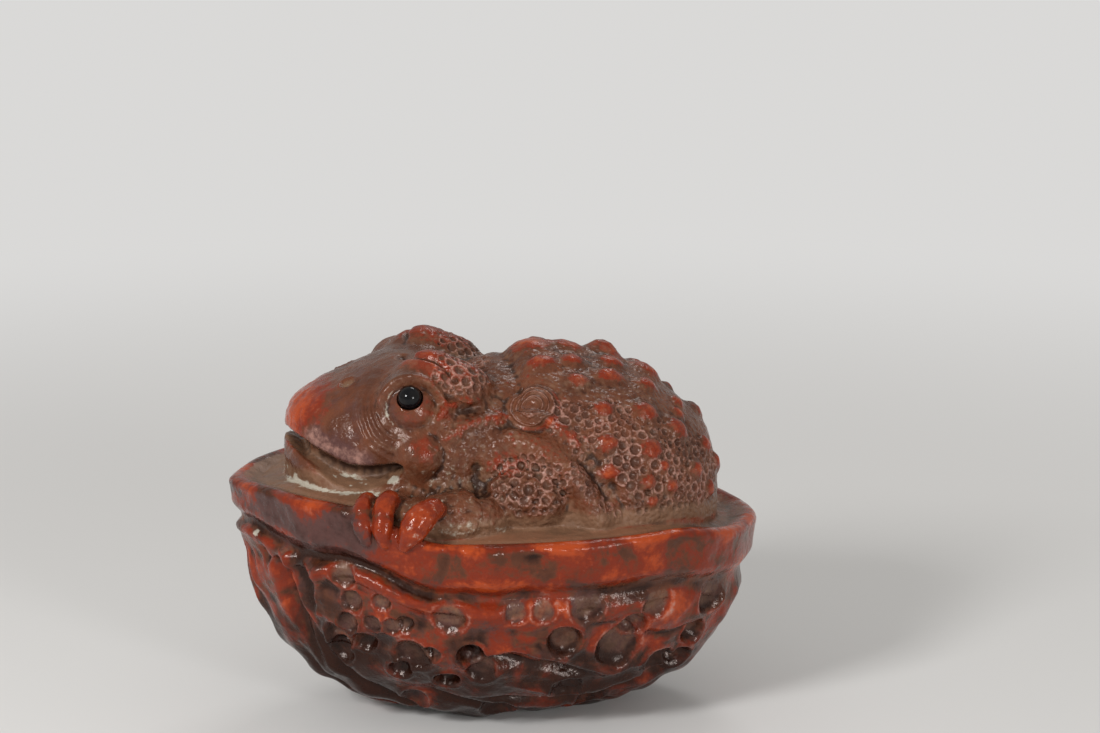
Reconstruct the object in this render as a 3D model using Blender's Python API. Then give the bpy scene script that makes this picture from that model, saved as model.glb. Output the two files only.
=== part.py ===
"""Tea pet: a toad resting in half a walnut, hand-built in red clay, hollow, with two inlaid eye beads.

The toad's nose points along -X, +Z is up, and the origin is the middle of the flat that it rests on.
Sizes are in millimetres. Heights on the toad are counted from the walnut's rim, so the toad rises and
sinks with the rim, and whatever sits on a surface is placed by a ray cast onto that surface.
"""

import math
import random

import bmesh
import bpy
import numpy as np
from mathutils import Vector, noise
from mathutils.bvhtree import BVHTree

MM = 0.001

# Walnut half
SHELL_LENGTH = 101.0  # over the band
SHELL_WIDTH = 72.0
RIM_HEIGHT = 41.5
PROW_RISE = 6.0  # the rim climbs towards the toad's chin
STERN_DROP = 3.8  # and sinks towards the rear tip
LIP_WIDTH = 2.4
LEDGE_DROP = 1.0
LEDGE_RISE = 5.0  # how much the ledge would rise from the lip to the middle
BAND_HEIGHT = 9.5
BAND_BULGE = 1.6
GROOVE_DEPTH = 1.3
BASE_RUB = 1.2  # how much of the round bottom is rubbed flat
FULLNESS_ALONG = 2.6  # 2 makes the bowl's side view an ellipse, and more makes it squarer
FULLNESS_ACROSS = 2.05

PIT_DEPTH = 0.55  # of a pit of 1 mm radius
FURROW_HEIGHT = 0.9

# Toad
NOSE_REACH = 40.0  # from the middle of the shell to the nose
HEAD_LENGTH = 42.0
HEAD_WIDTH = 44.0
HEAD_HEIGHT = 27.4
JAW_LEVEL = 11.0  # where the head is widest
MOUTH_DEPTH = 4.2
TORSO_CENTRE = 14.0
TORSO_LENGTH = 58.0
TORSO_WIDTH = 51.0
TORSO_HEIGHT = 29.4
WART_HEIGHT = 1.15
WART_TRIES = 200

# Eyes
EYE_BACK = 23.4  # from the nose to the eye
EYE_LEVEL = 21.4
EYE_RADIUS = 5.0
EYE_SINK = 2.4  # how deep the eyeball's middle lies in the head
GAZE_FORWARD = math.radians(12)
GAZE_UP = math.radians(40)
BEAD_RADIUS = 2.2
BEAD_SINK = 0.9  # how deep the bead's middle lies in the eyeball
BEAD_GAP = 0.3

# Ear, arms and toes
EAR_RADIUS = 4.5
EAR_PLACE = 5.6  # behind the middle of the shell
EAR_RAISE = 51.0  # degrees up from the side
ELBOW_LEVEL = 5.0

# Making
WALL = 5.0
HEAD_WALL = 7.0
VENT_RADIUS = 2.5
VENT_BACK = 6.0  # the vent lies this far behind the middle
GRAIN = 0.7  # size of the finest lump that the modelling keeps
SOFT_GRAIN = 1.0  # grain of the toad's first kneading, which melts its lumps together
SOFT_PASSES = 9
CAVITY_GRAIN = 2.0
BODY_TRIANGLES = 9400
CAVITY_TRIANGLES = 900
SEED = 7


def spline(points):
    """A smooth curve y(x) through a few points, as a function that takes a number or an array."""
    xs, ys = (np.array(v, float) for v in zip(*points))
    slope = np.gradient(ys, xs)

    def value(x):
        x = np.clip(np.asarray(x, float), xs[0], xs[-1])
        i = np.clip(np.searchsorted(xs, x, side="right") - 1, 0, len(xs) - 2)
        h = xs[i + 1] - xs[i]
        t = (x - xs[i]) / h
        rise = ys[i] * (1 + 2 * t) * (1 - t) ** 2 + ys[i + 1] * t * t * (3 - 2 * t)
        return rise + slope[i] * h * t * (1 - t) ** 2 + slope[i + 1] * h * t * t * (t - 1)

    return value


def smooth_step(x, low, high):
    """0 below low, 1 above high, and an S between them."""
    t = np.clip((np.asarray(x, float) - low) / (high - low), 0, 1)
    return t * t * (3 - 2 * t)


# Form of the walnut

HALF_LENGTH = SHELL_LENGTH / 2 - BAND_BULGE  # of the walnut's outline, which the band stands out from
HALF_WIDTH = SHELL_WIDTH / 2 - BAND_BULGE


def rim_half_width(x):
    """Half the width of the walnut's outline: an oval with a pointed prow and a blunter stern."""
    t = np.clip(np.asarray(x, float) / HALF_LENGTH, -1, 1)
    return HALF_WIDTH * (1 - np.abs(t) ** 2.4) ** (0.75 - 0.2 * smooth_step(t, 0, 0.7))


def rim_top(x):
    """Height of the rim's crest along the shell."""
    t = np.asarray(x, float) / HALF_LENGTH
    prow = smooth_step(-t, 0.24, 0.62) - 0.1 * smooth_step(-t, 0.9, 1)
    return RIM_HEIGHT + PROW_RISE * prow - STERN_DROP * smooth_step(t, 0.62, 1)


BAND_PROFILE = spline(  # depth in shares of the band, outward swell of the section
    ((0.0, -0.2), (0.03, 0.5), (0.1, 0.9), (0.3, 0.85), (0.6, 0.7), (0.82, 0.62), (0.95, 0.1),
     (1.05, -0.7), (1.18, -0.9), (1.4, 0.1), (1.9, 0.0))
)


def band_height(x):
    """The band narrows towards the prow."""
    return BAND_HEIGHT * (1 - 0.3 * smooth_step(-np.asarray(x, float) / HALF_LENGTH, 0.8, 1))


def shell_section(x, inset=0.0):
    """One section of the walnut, top to bottom: (share along, share across, outward shift, height)."""
    top = float(rim_top(x))
    tip = float(smooth_step(abs(x) / HALF_LENGTH, 0.75, 1))
    ledge = top - LEDGE_DROP - inset
    rings = [(share, share, 0.0, ledge + LEDGE_RISE * (1 - share)) for share in (0.2, 0.5, 0.65, 0.8, 0.9)]
    rings += [(1, 1, -LIP_WIDTH - 1 - inset, ledge), (1, 1, -LIP_WIDTH - inset, ledge + 0.3)]
    full = top + BASE_RUB
    for step in range(41):
        depth = full * (1 - math.cos(step / 40 * math.pi / 2))
        along = max(1 - (depth / full) ** FULLNESS_ALONG, 0) ** (1 / FULLNESS_ALONG)
        across = max(1 - (depth / full) ** FULLNESS_ACROSS, 0) ** (1 / FULLNESS_ACROSS)
        swell = float(BAND_PROFILE(depth / float(band_height(x))))
        shift = swell * (BAND_BULGE if swell > 0 else GROOVE_DEPTH * (1 - 0.6 * tip))
        if inset:
            shift = -inset * along
        rings.append((max(along, 0.04), max(across, 0.04), shift, top - depth + inset * depth / full))
    if inset:
        rings = [(a, b, s, min(z, ledge)) for a, b, s, z in rings]
    return rings


def shell_blank(inset=0.0, around=160):
    """The plain walnut half: its oval outline carried round, each section from the ledge to the base."""
    columns = []
    for step in range(around):
        angle = 2 * math.pi * (step + 0.5) / around
        x = math.cos(angle) * HALF_LENGTH
        y = math.copysign(float(rim_half_width(x)), math.sin(angle))
        round_y = math.sin(angle) * HALF_WIDTH
        out = Vector((math.cos(angle) * HALF_WIDTH, math.sin(angle) * HALF_LENGTH)).normalized()
        column = []
        for along, across, shift, z in shell_section(x, inset):
            rounding = float(smooth_step(1 - across, 0.05, 0.5))
            wide = y + (round_y - y) * rounding
            column.append((x * along + out.x * shift, wide * across + out.y * shift, z))
        columns.append(column)
    return closed_loft("shell_blank", list(zip(*columns)))


# Form of the toad

HEAD_TOP = spline(  # share of the head's length from the nose, share of its height
    ((0, 0.62), (0.03, 0.72), (0.08, 0.78), (0.16, 0.85), (0.29, 0.93), (0.4, 1.0), (0.52, 1.05),
     (0.64, 1.03), (0.8, 0.93), (1, 0.88))
)
TORSO_TOP = spline(  # share of the half length from the middle, share of the height
    ((-1, 0.55), (-0.72, 0.84), (-0.48, 0.94), (-0.24, 1.0), (0, 0.97), (0.2, 0.92), (0.35, 0.88),
     (0.48, 0.83), (0.62, 0.73), (0.75, 0.62), (0.85, 0.53), (0.94, 0.4), (1, 0.15))
)


def head_side(x, height, inset=0.0):
    """Half the width of the head at x and this height above the rim."""
    share = np.clip((np.asarray(x, float) + NOSE_REACH) / HEAD_LENGTH, 0, 1)
    widest = (HEAD_WIDTH / 2 - inset) * np.sqrt(1 - (1 - share) ** 3)
    up = np.clip((height - JAW_LEVEL) / (head_top(x) - inset - JAW_LEVEL), 0, 1)
    down = np.clip((JAW_LEVEL - height) / JAW_LEVEL, 0, 1)
    return widest * (1 - up**2.4) ** (1 / 2.4) * (1 - 0.13 * down**2)


def head_top(x):
    return HEAD_HEIGHT * HEAD_TOP((np.asarray(x, float) + NOSE_REACH) / HEAD_LENGTH)


def torso_side(x, height, inset=0.0):
    """Half the width of the torso at x and this height above the rim."""
    share = np.clip(np.abs(np.asarray(x, float) - TORSO_CENTRE) / (TORSO_LENGTH / 2), 0, 1)
    widest = (TORSO_WIDTH / 2 - inset) * np.sqrt(1 - share**2.2)
    up = np.clip(height / (torso_top(x) - inset), 0, 1)
    return widest * (1 - up**2.2) ** 0.5


def torso_top(x):
    return TORSO_HEIGHT * TORSO_TOP((np.asarray(x, float) - TORSO_CENTRE) / (TORSO_LENGTH / 2))


def section_ring(x, low, high, side, around=48):
    """One upright section: up along one side from the floor to the top, and down along the other."""
    steps = range(around // 2)
    ups = [low + (high - low) * (1 - math.cos(math.pi * (i + 0.5) / len(steps))) / 2 for i in steps]
    right = [(x, float(side(x, up)), RIM_HEIGHT + up) for up in ups]
    left = [(x, -y, z) for x, y, z in reversed(right)]
    return right + left


def body_blank(name, start, length, floor, top, side, inset=0.0):
    """A head or a torso as a loft of upright sections, finer towards both ends."""
    rings = []
    for step in range(44):
        share = (1 - math.cos(math.pi * (step + 0.15) / 43.3)) / 2
        x = start + 1.8 * inset + (length - 2.8 * inset) * share
        high = max(float(top(x)) - inset, 1.0)
        rings.append(section_ring(x, floor, high, lambda at, up: side(at, up, inset)))
    return closed_loft(name, rings)


def head_blank(inset=0.0):
    return body_blank("head_blank", -NOSE_REACH, HEAD_LENGTH, -4.0, head_top, head_side, inset)


def torso_blank(inset=0.0):
    start = TORSO_CENTRE - TORSO_LENGTH / 2
    return body_blank("torso_blank", start, TORSO_LENGTH, -8.0, torso_top, torso_side, inset)


def on_head(x, up, side, out=0.0):
    """A point on the head's side, lifted out by some millimetres."""
    return Vector((x, side * (float(head_side(x, up)) + out), RIM_HEIGHT + up))


def on_torso(x, up, side, out=0.0):
    return Vector((x, side * (float(torso_side(x, up)) + out), RIM_HEIGHT + up))


def on_rim(x, side, inward, above):
    """A point counted inwards from the rim's edge and up from its crest."""
    return Vector((x, side * (float(rim_half_width(x)) - inward), float(rim_top(x)) + above))


def eye_centre(side):
    x = EYE_BACK - NOSE_REACH
    return on_head(x, EYE_LEVEL, side, -EYE_SINK)


def gaze(side):
    """The way an eye looks: outwards, a little forwards and up."""
    level = math.cos(GAZE_UP)
    forward, out = math.sin(GAZE_FORWARD) * level, math.cos(GAZE_FORWARD) * level
    return Vector((-forward, side * out, math.sin(GAZE_UP)))


def cheek_centre(side):
    return on_head(-15.6, 13.2, side, -1.2)


def head_lumps(side):
    """Brow, lid mound, cheek and lower lip, which melt into one side of the head."""
    eye = eye_centre(side)
    return [
        ball("brow", eye + Vector((6.2, -side * 4.2, 4.0)), (9.6, 5.8, 4.6), (0, 0.2, side * 0.05)),
        ball("brow_peak", eye + Vector((3.8, -side * 5.0, 4.9)), (5.4, 5.0, 5.2), (0, 0.1, 0)),
        ball("lid", eye + Vector((0.4, -side * 1.2, 0.6)), (7.0, 4.6, 6.4), (0, 0, 0)),
        ball("cheek", cheek_centre(side), (4.2, 3.2, 4.0), (0, 0.2, 0)),
        limb("lower_lip", [
            (on_head(-39.4, 10.4, side, -1.4), 1.2), (on_head(-36.5, 9.0, side, -0.8), 1.6),
            (on_head(-32, 6.4, side, -0.4), 1.8), (on_head(-27.5, 4.8, side, -0.3), 1.8),
            (on_head(-23, 4.7, side, -0.5), 1.6), (on_head(-18.5, 6.2, side, -0.9), 1.3),
            (on_head(-16.6, 9.0, side, -0.9), 1.3),
        ]),
    ]


MOUTH = (  # place along the head, height of the gap's middle above the rim, half its height
    (-46, 14.4, 1.3), (-41, 14.2, 1.3), (-38.5, 13.6, 1.6), (-35, 11.9, 2.1), (-30.5, 9.7, 2.4),
    (-27.5, 9.0, 2.3), (-23, 9.3, 2.3), (-20.4, 10.2, 1.8), (-18.6, 10.8, 0.9),
)


def mouth_wedge(side):
    """What is cut out for one side of the mouth: a curved wedge that narrows inwards."""
    rings = []
    for x, up, half in sampled(MOUTH, 28):
        edge = float(head_side(max(x, -NOSE_REACH + 0.2), up))
        inner = max(edge - MOUTH_DEPTH, -1.0) if x > -36 else -1.0
        outer = edge + 4
        spans = ((outer, 1.5), (edge, 1.0), (inner, 0.45), (inner, -0.45), (edge, -1.0), (outer, -1.5))
        rings.append([(x, side * y, RIM_HEIGHT + up + share * half) for y, share in spans])
    return closed_loft("mouth_wedge", rings)


def crisp_lumps(side):
    """Eyeball, elbow and toes, whose edges stay crisp."""
    lumps = [
        ball("eyeball", eye_centre(side), (EYE_RADIUS,) * 3, (0, 0, 0)),
        ball("elbow", on_torso(3.8, ELBOW_LEVEL, side, -0.7), (8.0, 4.3, 5.7), (0, 0.1, side * 0.1)),
    ]
    for stations in TOES:
        path = [(on_rim(x, side, inward, above), size) for x, inward, above, size in stations]
        lumps.append(limb("toe", path))
    return lumps


TOES = (  # stations from knuckle to tip: (place along, in from the rim's edge, above its crest, radius)
    (
        (-24.6, 5.2, 1.0, 1.2), (-25.6, 3.4, 1.5, 1.5), (-26.6, 0.6, 0.4, 1.6), (-26.5, -1.4, -2.4, 1.5),
        (-26, -1.5, -5, 0.8),
    ),
    (
        (-20.6, 5.6, 3.0, 1.5), (-21.6, 3.8, 3.6, 1.9), (-22.7, 1.0, 2.0, 2.0), (-23, -1.2, -1.0, 1.8),
        (-22.8, -1.5, -3.8, 0.9),
    ),
    (
        (-12.6, 4.2, 5.4, 1.6), (-14.2, 2.0, 5.6, 2.3), (-16.4, -0.2, 3.6, 2.8), (-18.2, -1.6, 0.4, 2.4),
        (-19.4, -1.9, -2.4, 1.0),
    ),
)


def arm_lumps(side):
    """Folded arm on the ledge, with the fold of skin that arches over its elbow."""
    fold = [(-9.6, 10.6), (-6.6, 13.4), (-2.9, 15.0), (2.9, 15.3), (7.4, 13.6), (11.2, 10.6)]
    fold += [(14.6, 6.4), (17.2, 0.5)]
    return [
        ball("forearm", on_rim(-8.5, side, 8.6, 2.4), (9.5, 5.0, 5.4), (0, 0.05, side * -0.12)),
        ball("wrist", on_rim(-15.5, side, 6.2, 2.4), (5.5, 4.4, 4.0), (0, 0.1, side * -0.3)),
        ball("knuckles", on_rim(-21.5, side, 6.6, 1.2), (6.0, 3.4, 2.8), (0, -0.1, side * -0.4)),
        limb("shoulder_fold", [(on_torso(x, up, side, 0.0), 2.5) for x, up in fold]),
    ]


# Relief, as spots and strokes that lift the surface

BACK_WARTS = (  # place along the body, degrees up from the side, radius
    (7, 88, 4.2), (14, 90, 3.0), (21, 94, 3.9), (29, 90, 3.1), (8.4, 73, 2.4), (14.2, 76, 2.2),
    (21.7, 81, 2.7), (21, 69, 2.5), (14.6, 63, 2.1), (28.2, 71, 2.1), (18.8, 50, 1.9), (27, 52, 2.4),
    (33.2, 49, 2.7), (34.4, 74, 1.6), (19.2, 35, 1.9), (27.3, 34, 2.3), (30, 27, 1.1), (39.3, 52, 1.9),
    (19.2, 23, 1.8), (26.5, 19, 1.5), (31.5, 17, 1.4), (36.7, 28, 1.9), (27.4, 10, 1.3), (34, 62, 1.5),
)
ELBOW_PEBBLES = (  # place along the body, height above the rim, radius
    (1.2, 8.6, 1.7), (7.8, 7.4, 1.8), (5.0, 6.6, 1.1), (5.0, 4.2, 1.2), (8.2, 3.8, 1.2), (6.4, 2.4, 1.2),
    (2.4, 5.4, 1.4), (-0.4, 5.6, 1.3), (10.8, 5.4, 1.2), (3.4, 2.6, 1.3),
)
SHOULDER_RIDGES = (  # pebbled rolls of skin above the arm, and the edge of the folded forearm
    (((-12.4, 16.6), (-10.6, 19.4), (-7.0, 21.0), (-2.6, 20.2)), 1.5),
    (((-11.6, 13.2), (-6.8, 16.6), (0.4, 17.9), (6.6, 17.6), (11.6, 14.8), (15.4, 10.6)), 1.2),
    (((-4.9, 10.5), (-5.4, 7.0), (-4.2, 3.0)), -1.0),
    (((12.6, 12.0), (15.6, 8.6), (18.2, 4.4), (19.8, 0.8)), -1.1),
)
NECK_CREASES = (  # creases: (place along, degrees up from the side) from start to end, half width, depth
    (((1.5, 92), (2.2, 78), (3.4, 66), (3.6, 56), (1.0, 46), (-3, 38)), 1.5, 1.2),
    (((14, 34), (17, 28), (19.5, 20), (21.5, 10), (23, 2)), 1.2, 1.1),
)
SHELL_PITS = (  # place along the shell, degrees down from the rim, radius, depth against a common pit
    (-30, 25, 2.2, 1), (-28, 33, 1.9, 1), (-23, 26, 1.6, 0.8), (-21, 32, 1.6, 1), (-19, 29, 1.5, 1.3),
    (-24, 35, 1.6, 1), (-28, 41, 1.8, 1), (-25, 45, 2.0, 1.2), (-17, 38, 3.1, 0.9), (-14, 34, 1.6, 1.5),
    (-11, 21, 2.9, 0.7), (-19, 47, 1.9, 1.6), (-11, 45, 2.1, 2.0), (-28, 56, 2.4, 1.6), (-29, 50, 2.6, 1.2),
    (-7, 33, 2.2, 2.2), (-5, 39, 2.4, 1), (1, 19, 2.0, 0.8), (6, 19, 2.0, 0.8), (14, 19, 2.9, 0.7),
    (10, 29, 2.8, 1.3), (27, 24, 2.8, 0.8), (20, 36, 3.9, 1.1), (23, 30, 2.4, 1.3), (27, 50, 2.9, 1.2),
    (38, 33, 3.1, 1.1), (31, 56, 2.4, 1.7), (34, 46, 2.3, 1.6), (11, 50, 2.6, 1.4), (35, 17, 1.8, 0.9),
    (39, 18, 1.7, 0.9), (43, 20, 1.6, 0.9), (-43, 22, 1.6, 1.8), (-42, 32, 1.3, 1.4), (-1, 62, 2.8, 1.2),
    (-16, 62, 2.2, 1.3), (16, 64, 2.6, 1.4),
)
SHELL_STROKES = (  # wrinkles: (place along, degrees down) from start to end, half width, depth
    (((-9, 33), (0, 36), (8, 40), (16, 45)), 1.6, 2.0),
    (((-41, 24), (-38.5, 33), (-36, 42), (-33, 50)), 3.0, 2.3),
    (((-47, 14), (-46, 36), (-43, 56)), 1.6, 2.0),
    (((-49, 20), (-48.5, 50), (-47, 75)), 1.3, 1.4),
    (((-44, 20), (-42, 42), (-37, 58), (-28, 70)), 1.5, 1.8),
    (((-42, 46), (-34, 58), (-22, 66), (-8, 70)), 1.6, 1.8),
    (((-34, 72), (-20, 79), (0, 82), (18, 78)), 1.5, 1.5),
    (((-6, 52), (8, 57), (22, 60), (34, 58)), 1.5, 1.8),
    (((13, 24), (20, 28), (28, 38), (38, 42)), 1.0, 0.7),
    (((-16, 54), (-4, 58), (8, 66), (22, 72)), 1.4, 1.6),
    (((30, 14), (38, 26), (45, 30)), 1.2, 0.9),
    (((-33, 20), (-35, 36), (-32, 52)), 1.3, -1.1),
    (((-44, 16), (-42, 28), (-39, 44)), 1.1, -1.0),
    (((-36, 17), (-24, 20), (-8, 16), (8, 14)), 1.3, -0.8),
    (((-2, 30), (8, 34), (18, 44), (30, 46)), 1.5, -0.9),
    (((0, 46), (14, 52), (28, 54)), 1.6, -0.9),
)


def surface_finder(obj):
    """A function that casts a ray inwards from far along a direction and gives the point it meets."""
    faces = [face.vertices for face in obj.data.polygons]
    tree = BVHTree.FromPolygons([v.co / MM for v in obj.data.vertices], faces)

    def find(base, direction):
        way = Vector(direction).normalized()
        hit = tree.ray_cast(Vector(base) + way * 3 * SHELL_LENGTH, -way)[0]
        return np.array(hit if hit else base)

    return find


def bowl_point(find, x, down, side):
    """The point of the bowl at x, this many degrees down from the rim, on a line from tip to tip."""
    lean = math.asin(max(-0.99, min(0.99, x / HALF_LENGTH)))
    angle = math.radians(down)
    way = (
        math.sin(lean) * HALF_LENGTH,
        side * math.cos(lean) * math.cos(angle) * HALF_WIDTH,
        -math.cos(lean) * math.sin(angle) * RIM_HEIGHT,
    )
    return find((0, 0, float(rim_top(x))), way)


def back_point(find, x, up, side):
    angle = math.radians(up)
    return find((x, 0, RIM_HEIGHT), (0, side * math.cos(angle), math.sin(angle)))


def spot(points, centre, radius, height, ring=0.0, long=1.0):
    """A soft bump, or a crisp pit if height is below zero, with a faint opposite ring round it.

    Where long is over 1, it is that much longer along the body than it is wide."""
    lift = np.zeros(len(points))
    near = np.flatnonzero(np.abs(points[:, 0] - centre[0]) < 2 * radius * long)
    t = np.linalg.norm((points[near] - centre) / (radius * long, radius, radius), axis=1)
    near, t = near[t < 2], t[t < 2]
    dome = np.clip(1 - t * t, 0, 1) ** 0.6 if height < 0 else np.exp(-((t / 0.74) ** 3))
    collar = np.exp(-((t - 1.17) / 0.17) ** 2)
    lift[near] = height * (dome - ring * collar)
    return lift


def stroke(points, path, half_width, height, slim=1.0, steep=2):
    """A ridge (or groove, if height is below zero) along a path of points, fading at both ends.

    Where slim is under 1, the stroke is that much narrower at its ends than at its middle. A greater
    steep gives it a flatter bed and steeper walls."""
    path = np.array(path)
    low, high = path.min(axis=0) - 3 * half_width, path.max(axis=0) + 3 * half_width
    near = np.flatnonzero(np.all((points > low) & (points < high), axis=1))
    here = points[near]
    nearest = np.full(len(here), np.inf)
    place = np.zeros(len(here))
    total = len(path) - 1
    for i, (a, b) in enumerate(zip(path, path[1:])):
        step = b - a
        t = np.clip(((here - a) @ step) / max(step @ step, 1e-9), 0, 1)
        gap = np.linalg.norm(here - a - t[:, None] * step, axis=1)
        better = gap < nearest
        nearest[better] = gap[better]
        place[better] = (i + t[better]) / total
    fade = np.clip(np.minimum(place, 1 - place) * 5, 0.15, 1)
    width = half_width * (slim + (1 - slim) * np.sin(np.pi * place))
    lift = np.zeros(len(points))
    lift[near] = height * fade * np.exp(-((nearest / width) ** steep))
    return lift


def sampled(places, count):
    """A smooth run of places through a few given ones."""
    steps = np.linspace(0, len(places) - 1, count)
    return list(zip(*(spline(list(enumerate(v)))(steps) for v in zip(*places))))


def shell_marks(find):
    """Pits and wrinkles on both sides. The far side has the same ones, moved about a little."""
    rng = random.Random(SEED)
    pits, wrinkles = [], []
    for side in (-1, 1):
        for x, down, radius, depth in SHELL_PITS:
            if side > 0:
                x, down = x + rng.uniform(-2.5, 2.5), down + rng.uniform(-5, 5)
            pits.append((bowl_point(find, x, down, side), radius, depth))
        for places, half_width, depth in SHELL_STROKES:
            shift = rng.uniform(-3, 3) if side > 0 else 0
            path = [bowl_point(find, x + shift, down + shift, side) for x, down in sampled(places, 12)]
            wrinkles.append((path, half_width, depth))
    return pits, wrinkles


def shell_relief(points, find):
    """Pits, wrinkles and uneven ridges of the walnut, on the bowl under its band."""
    lift = np.zeros(len(points))
    pits, wrinkles = shell_marks(find)
    for centre, radius, depth in pits:
        lift += spot(points, centre, 1.2 * radius, -PIT_DEPTH * depth * radius**0.8, 0.12)
    for path, half_width, depth in wrinkles:
        lift += stroke(points, path, half_width, -depth, 0.4)
    crest = rim_top(points[:, 0])
    depth = crest - points[:, 2]
    around = np.arctan2(points[:, 1], RIM_HEIGHT - points[:, 2])
    lean = points[:, 0] / HALF_LENGTH
    runs = zip(3.2 * lean, 5.0 * around + 2.2 * lean)
    ridges = np.array([noise.noise(Vector((x, across, 7.5))) for x, across in runs])
    fine = np.array([noise.noise(Vector(p * 0.17)) for p in points])
    lift += FURROW_HEIGHT * (0.5 - 2.0 * np.sqrt(ridges**2 + 0.02)) + 0.9 * fine
    return lift * smooth_step(depth, BAND_HEIGHT * 1.15, BAND_HEIGHT * 1.6)


def band_relief(points):
    """The band's face is wavy from the maker's thumb, and a thin ridge under it runs to the prow."""
    share = (rim_top(points[:, 0]) - points[:, 2]) / band_height(points[:, 0])
    waves = np.array([noise.noise(Vector((p[0] * 0.11, p[1] * 0.11, 3.1))) for p in points])
    face = smooth_step(share, 0, 0.25) * (1 - smooth_step(share, 1.0, 1.5))
    front = 1 - smooth_step(points[:, 0], -12, 16)
    return 1.1 * waves * face + 0.7 * front * np.exp(-((share - 1.42 - 0.25 * waves) / 0.13) ** 2)


def wart_places(find):
    """Centres and radii of the back's warts: the chosen ones on both sides, and smaller ones between."""
    rng = random.Random(SEED + 1)
    placed = []
    for side in (-1, 1):
        for x, up, radius in BACK_WARTS:
            if side > 0:
                x, up = x + rng.uniform(-2, 2), up + rng.uniform(-5, 5)
            if side < 0 or up < 85:
                placed.append((back_point(find, x, up, side), radius))
    for _ in range(WART_TRIES):
        around, up = math.radians(rng.uniform(-115, 115)), math.radians(rng.uniform(4, 80))
        radius = rng.uniform(1.3, 2.4)
        way = (math.cos(around) * math.cos(up), math.sin(around) * math.cos(up), math.sin(up))
        centre = find((TORSO_CENTRE, 0, RIM_HEIGHT), way)
        clear = all(np.linalg.norm(centre - other) > radius + size + 1.4 for other, size in placed)
        unseen = centre[1] > 2 or centre[0] > TORSO_CENTRE + 0.42 * TORSO_LENGTH
        start = TORSO_CENTRE - 2 + max(0, 16 - (centre[2] - RIM_HEIGHT)) * 0.7
        if clear and unseen and centre[0] > start and centre[2] > RIM_HEIGHT + 2.5:
            placed.append((centre, radius))
    return placed


def toad_relief(points, find):
    """Mouth, eye folds, ear, warts and creases of the toad."""
    lift = np.zeros(len(points))
    for centre, radius in wart_places(find):
        lift += spot(points, centre, radius * 1.15, WART_HEIGHT * min(1.2, radius / 2.2), 0.04, 1.25)
    for side in (-1, 1):
        eye = eye_centre(side)
        beside = points[:, 1] * side > 0
        apart = np.linalg.norm(points - np.array(eye), axis=1) / EYE_RADIUS
        cheek = np.linalg.norm(points - np.array(cheek_centre(side)), axis=1) / EYE_RADIUS
        out = (points - np.array(eye)) @ np.array(gaze(side)) / EYE_RADIUS
        over = smooth_step(points[:, 2] - eye.z, -1.5, 1.5)
        low = smooth_step(eye.z + 3 - points[:, 2], 0, 4) * smooth_step(eye.x + 4 - points[:, 0], 0, 5)
        low *= smooth_step(cheek, 0.9, 1.3)
        lift += beside * (out > 0) * (0.05 + 0.8 * over) * np.exp(-((apart - 1.2) / 0.1) ** 2)
        lift -= beside * (out > 0) * (0.1 + 0.5 * over) * np.exp(-((apart - 1.04) / 0.07) ** 2)
        for ring, height in ((1.55, 0.3), (1.82, 0.35), (2.09, 0.3)):
            lift += height * beside * low * np.exp(-((apart - ring) / 0.12) ** 2)
        brow = [(-3.2, 5.4), (-0.8, 6.8), (2.4, 7.2), (5.6, 5.6), (7.4, 2.8), (8.0, -0.4)]
        path = [find((eye.x + x, 0, eye.z + up), (0, side, 0.15)) for x, up in sampled(brow, 12)]
        lift += stroke(points, path, 0.75, -0.9)
        behind = smooth_step(points[:, 0], cheek_centre(side).x, cheek_centre(side).x + 3)
        lift -= 0.55 * beside * behind * np.exp(-((cheek - 0.95) / 0.13) ** 2)
        reach = np.linalg.norm(points - back_point(find, EAR_PLACE, EAR_RAISE, side), axis=1) / EAR_RADIUS
        lift += 0.5 * (1 - smooth_step(reach, 0.85, 1.05)) - 0.3 * np.exp(-((reach - 1.2) / 0.15) ** 2)
        for ring in (1.0, 0.72, 0.46, 0.2):
            lift += 0.28 * np.exp(-((reach - ring) / 0.08) ** 2)
        for places, half_width, depth in NECK_CREASES:
            path = [back_point(find, x, up, side) for x, up in places]
            lift += stroke(points, path, half_width, -depth)
        for x, up, radius in ELBOW_PEBBLES:
            lift += spot(points, find(on_torso(x, up, 0), (0, side, 0.1)), radius, 0.6, 0.3)
        for places, height in SHOULDER_RIDGES:
            path = [find(on_torso(x, up, 0), (0, side, 0.1)) for x, up in sampled(places, 12)]
            lift += stroke(points, path, 1.3, height)
        nostril = find(on_head(-28.2, 22.2, 0), (0, side, 0.3))
        lift += spot(points, nostril, 1.5, -0.5, 0.5)
    return lift


# Mesh helpers

def closed_loft(name, rings):
    """A closed mesh through rings of points, with a face over each end ring."""
    mesh = bmesh.new()
    made = [[mesh.verts.new(Vector(p) * MM) for p in ring] for ring in rings]
    count = len(rings[0])
    for ring, after in zip(made, made[1:]):
        for i in range(count):
            j = (i + 1) % count
            mesh.faces.new((ring[i], ring[j], after[j], after[i]))
    mesh.faces.new(list(reversed(made[0])))
    mesh.faces.new(made[-1])
    bmesh.ops.recalc_face_normals(mesh, faces=mesh.faces)
    return object_from(name, mesh)


def ball(name, centre, radii, turn, detail=4):
    """An ellipsoid, turned by three angles about X, Y and Z."""
    mesh = bmesh.new()
    bmesh.ops.create_icosphere(mesh, subdivisions=detail, radius=1)
    bmesh.ops.scale(mesh, verts=mesh.verts, vec=Vector(radii) * MM)
    obj = object_from(name, mesh)
    obj.location = Vector(centre) * MM
    obj.rotation_euler = turn
    return obj


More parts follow.
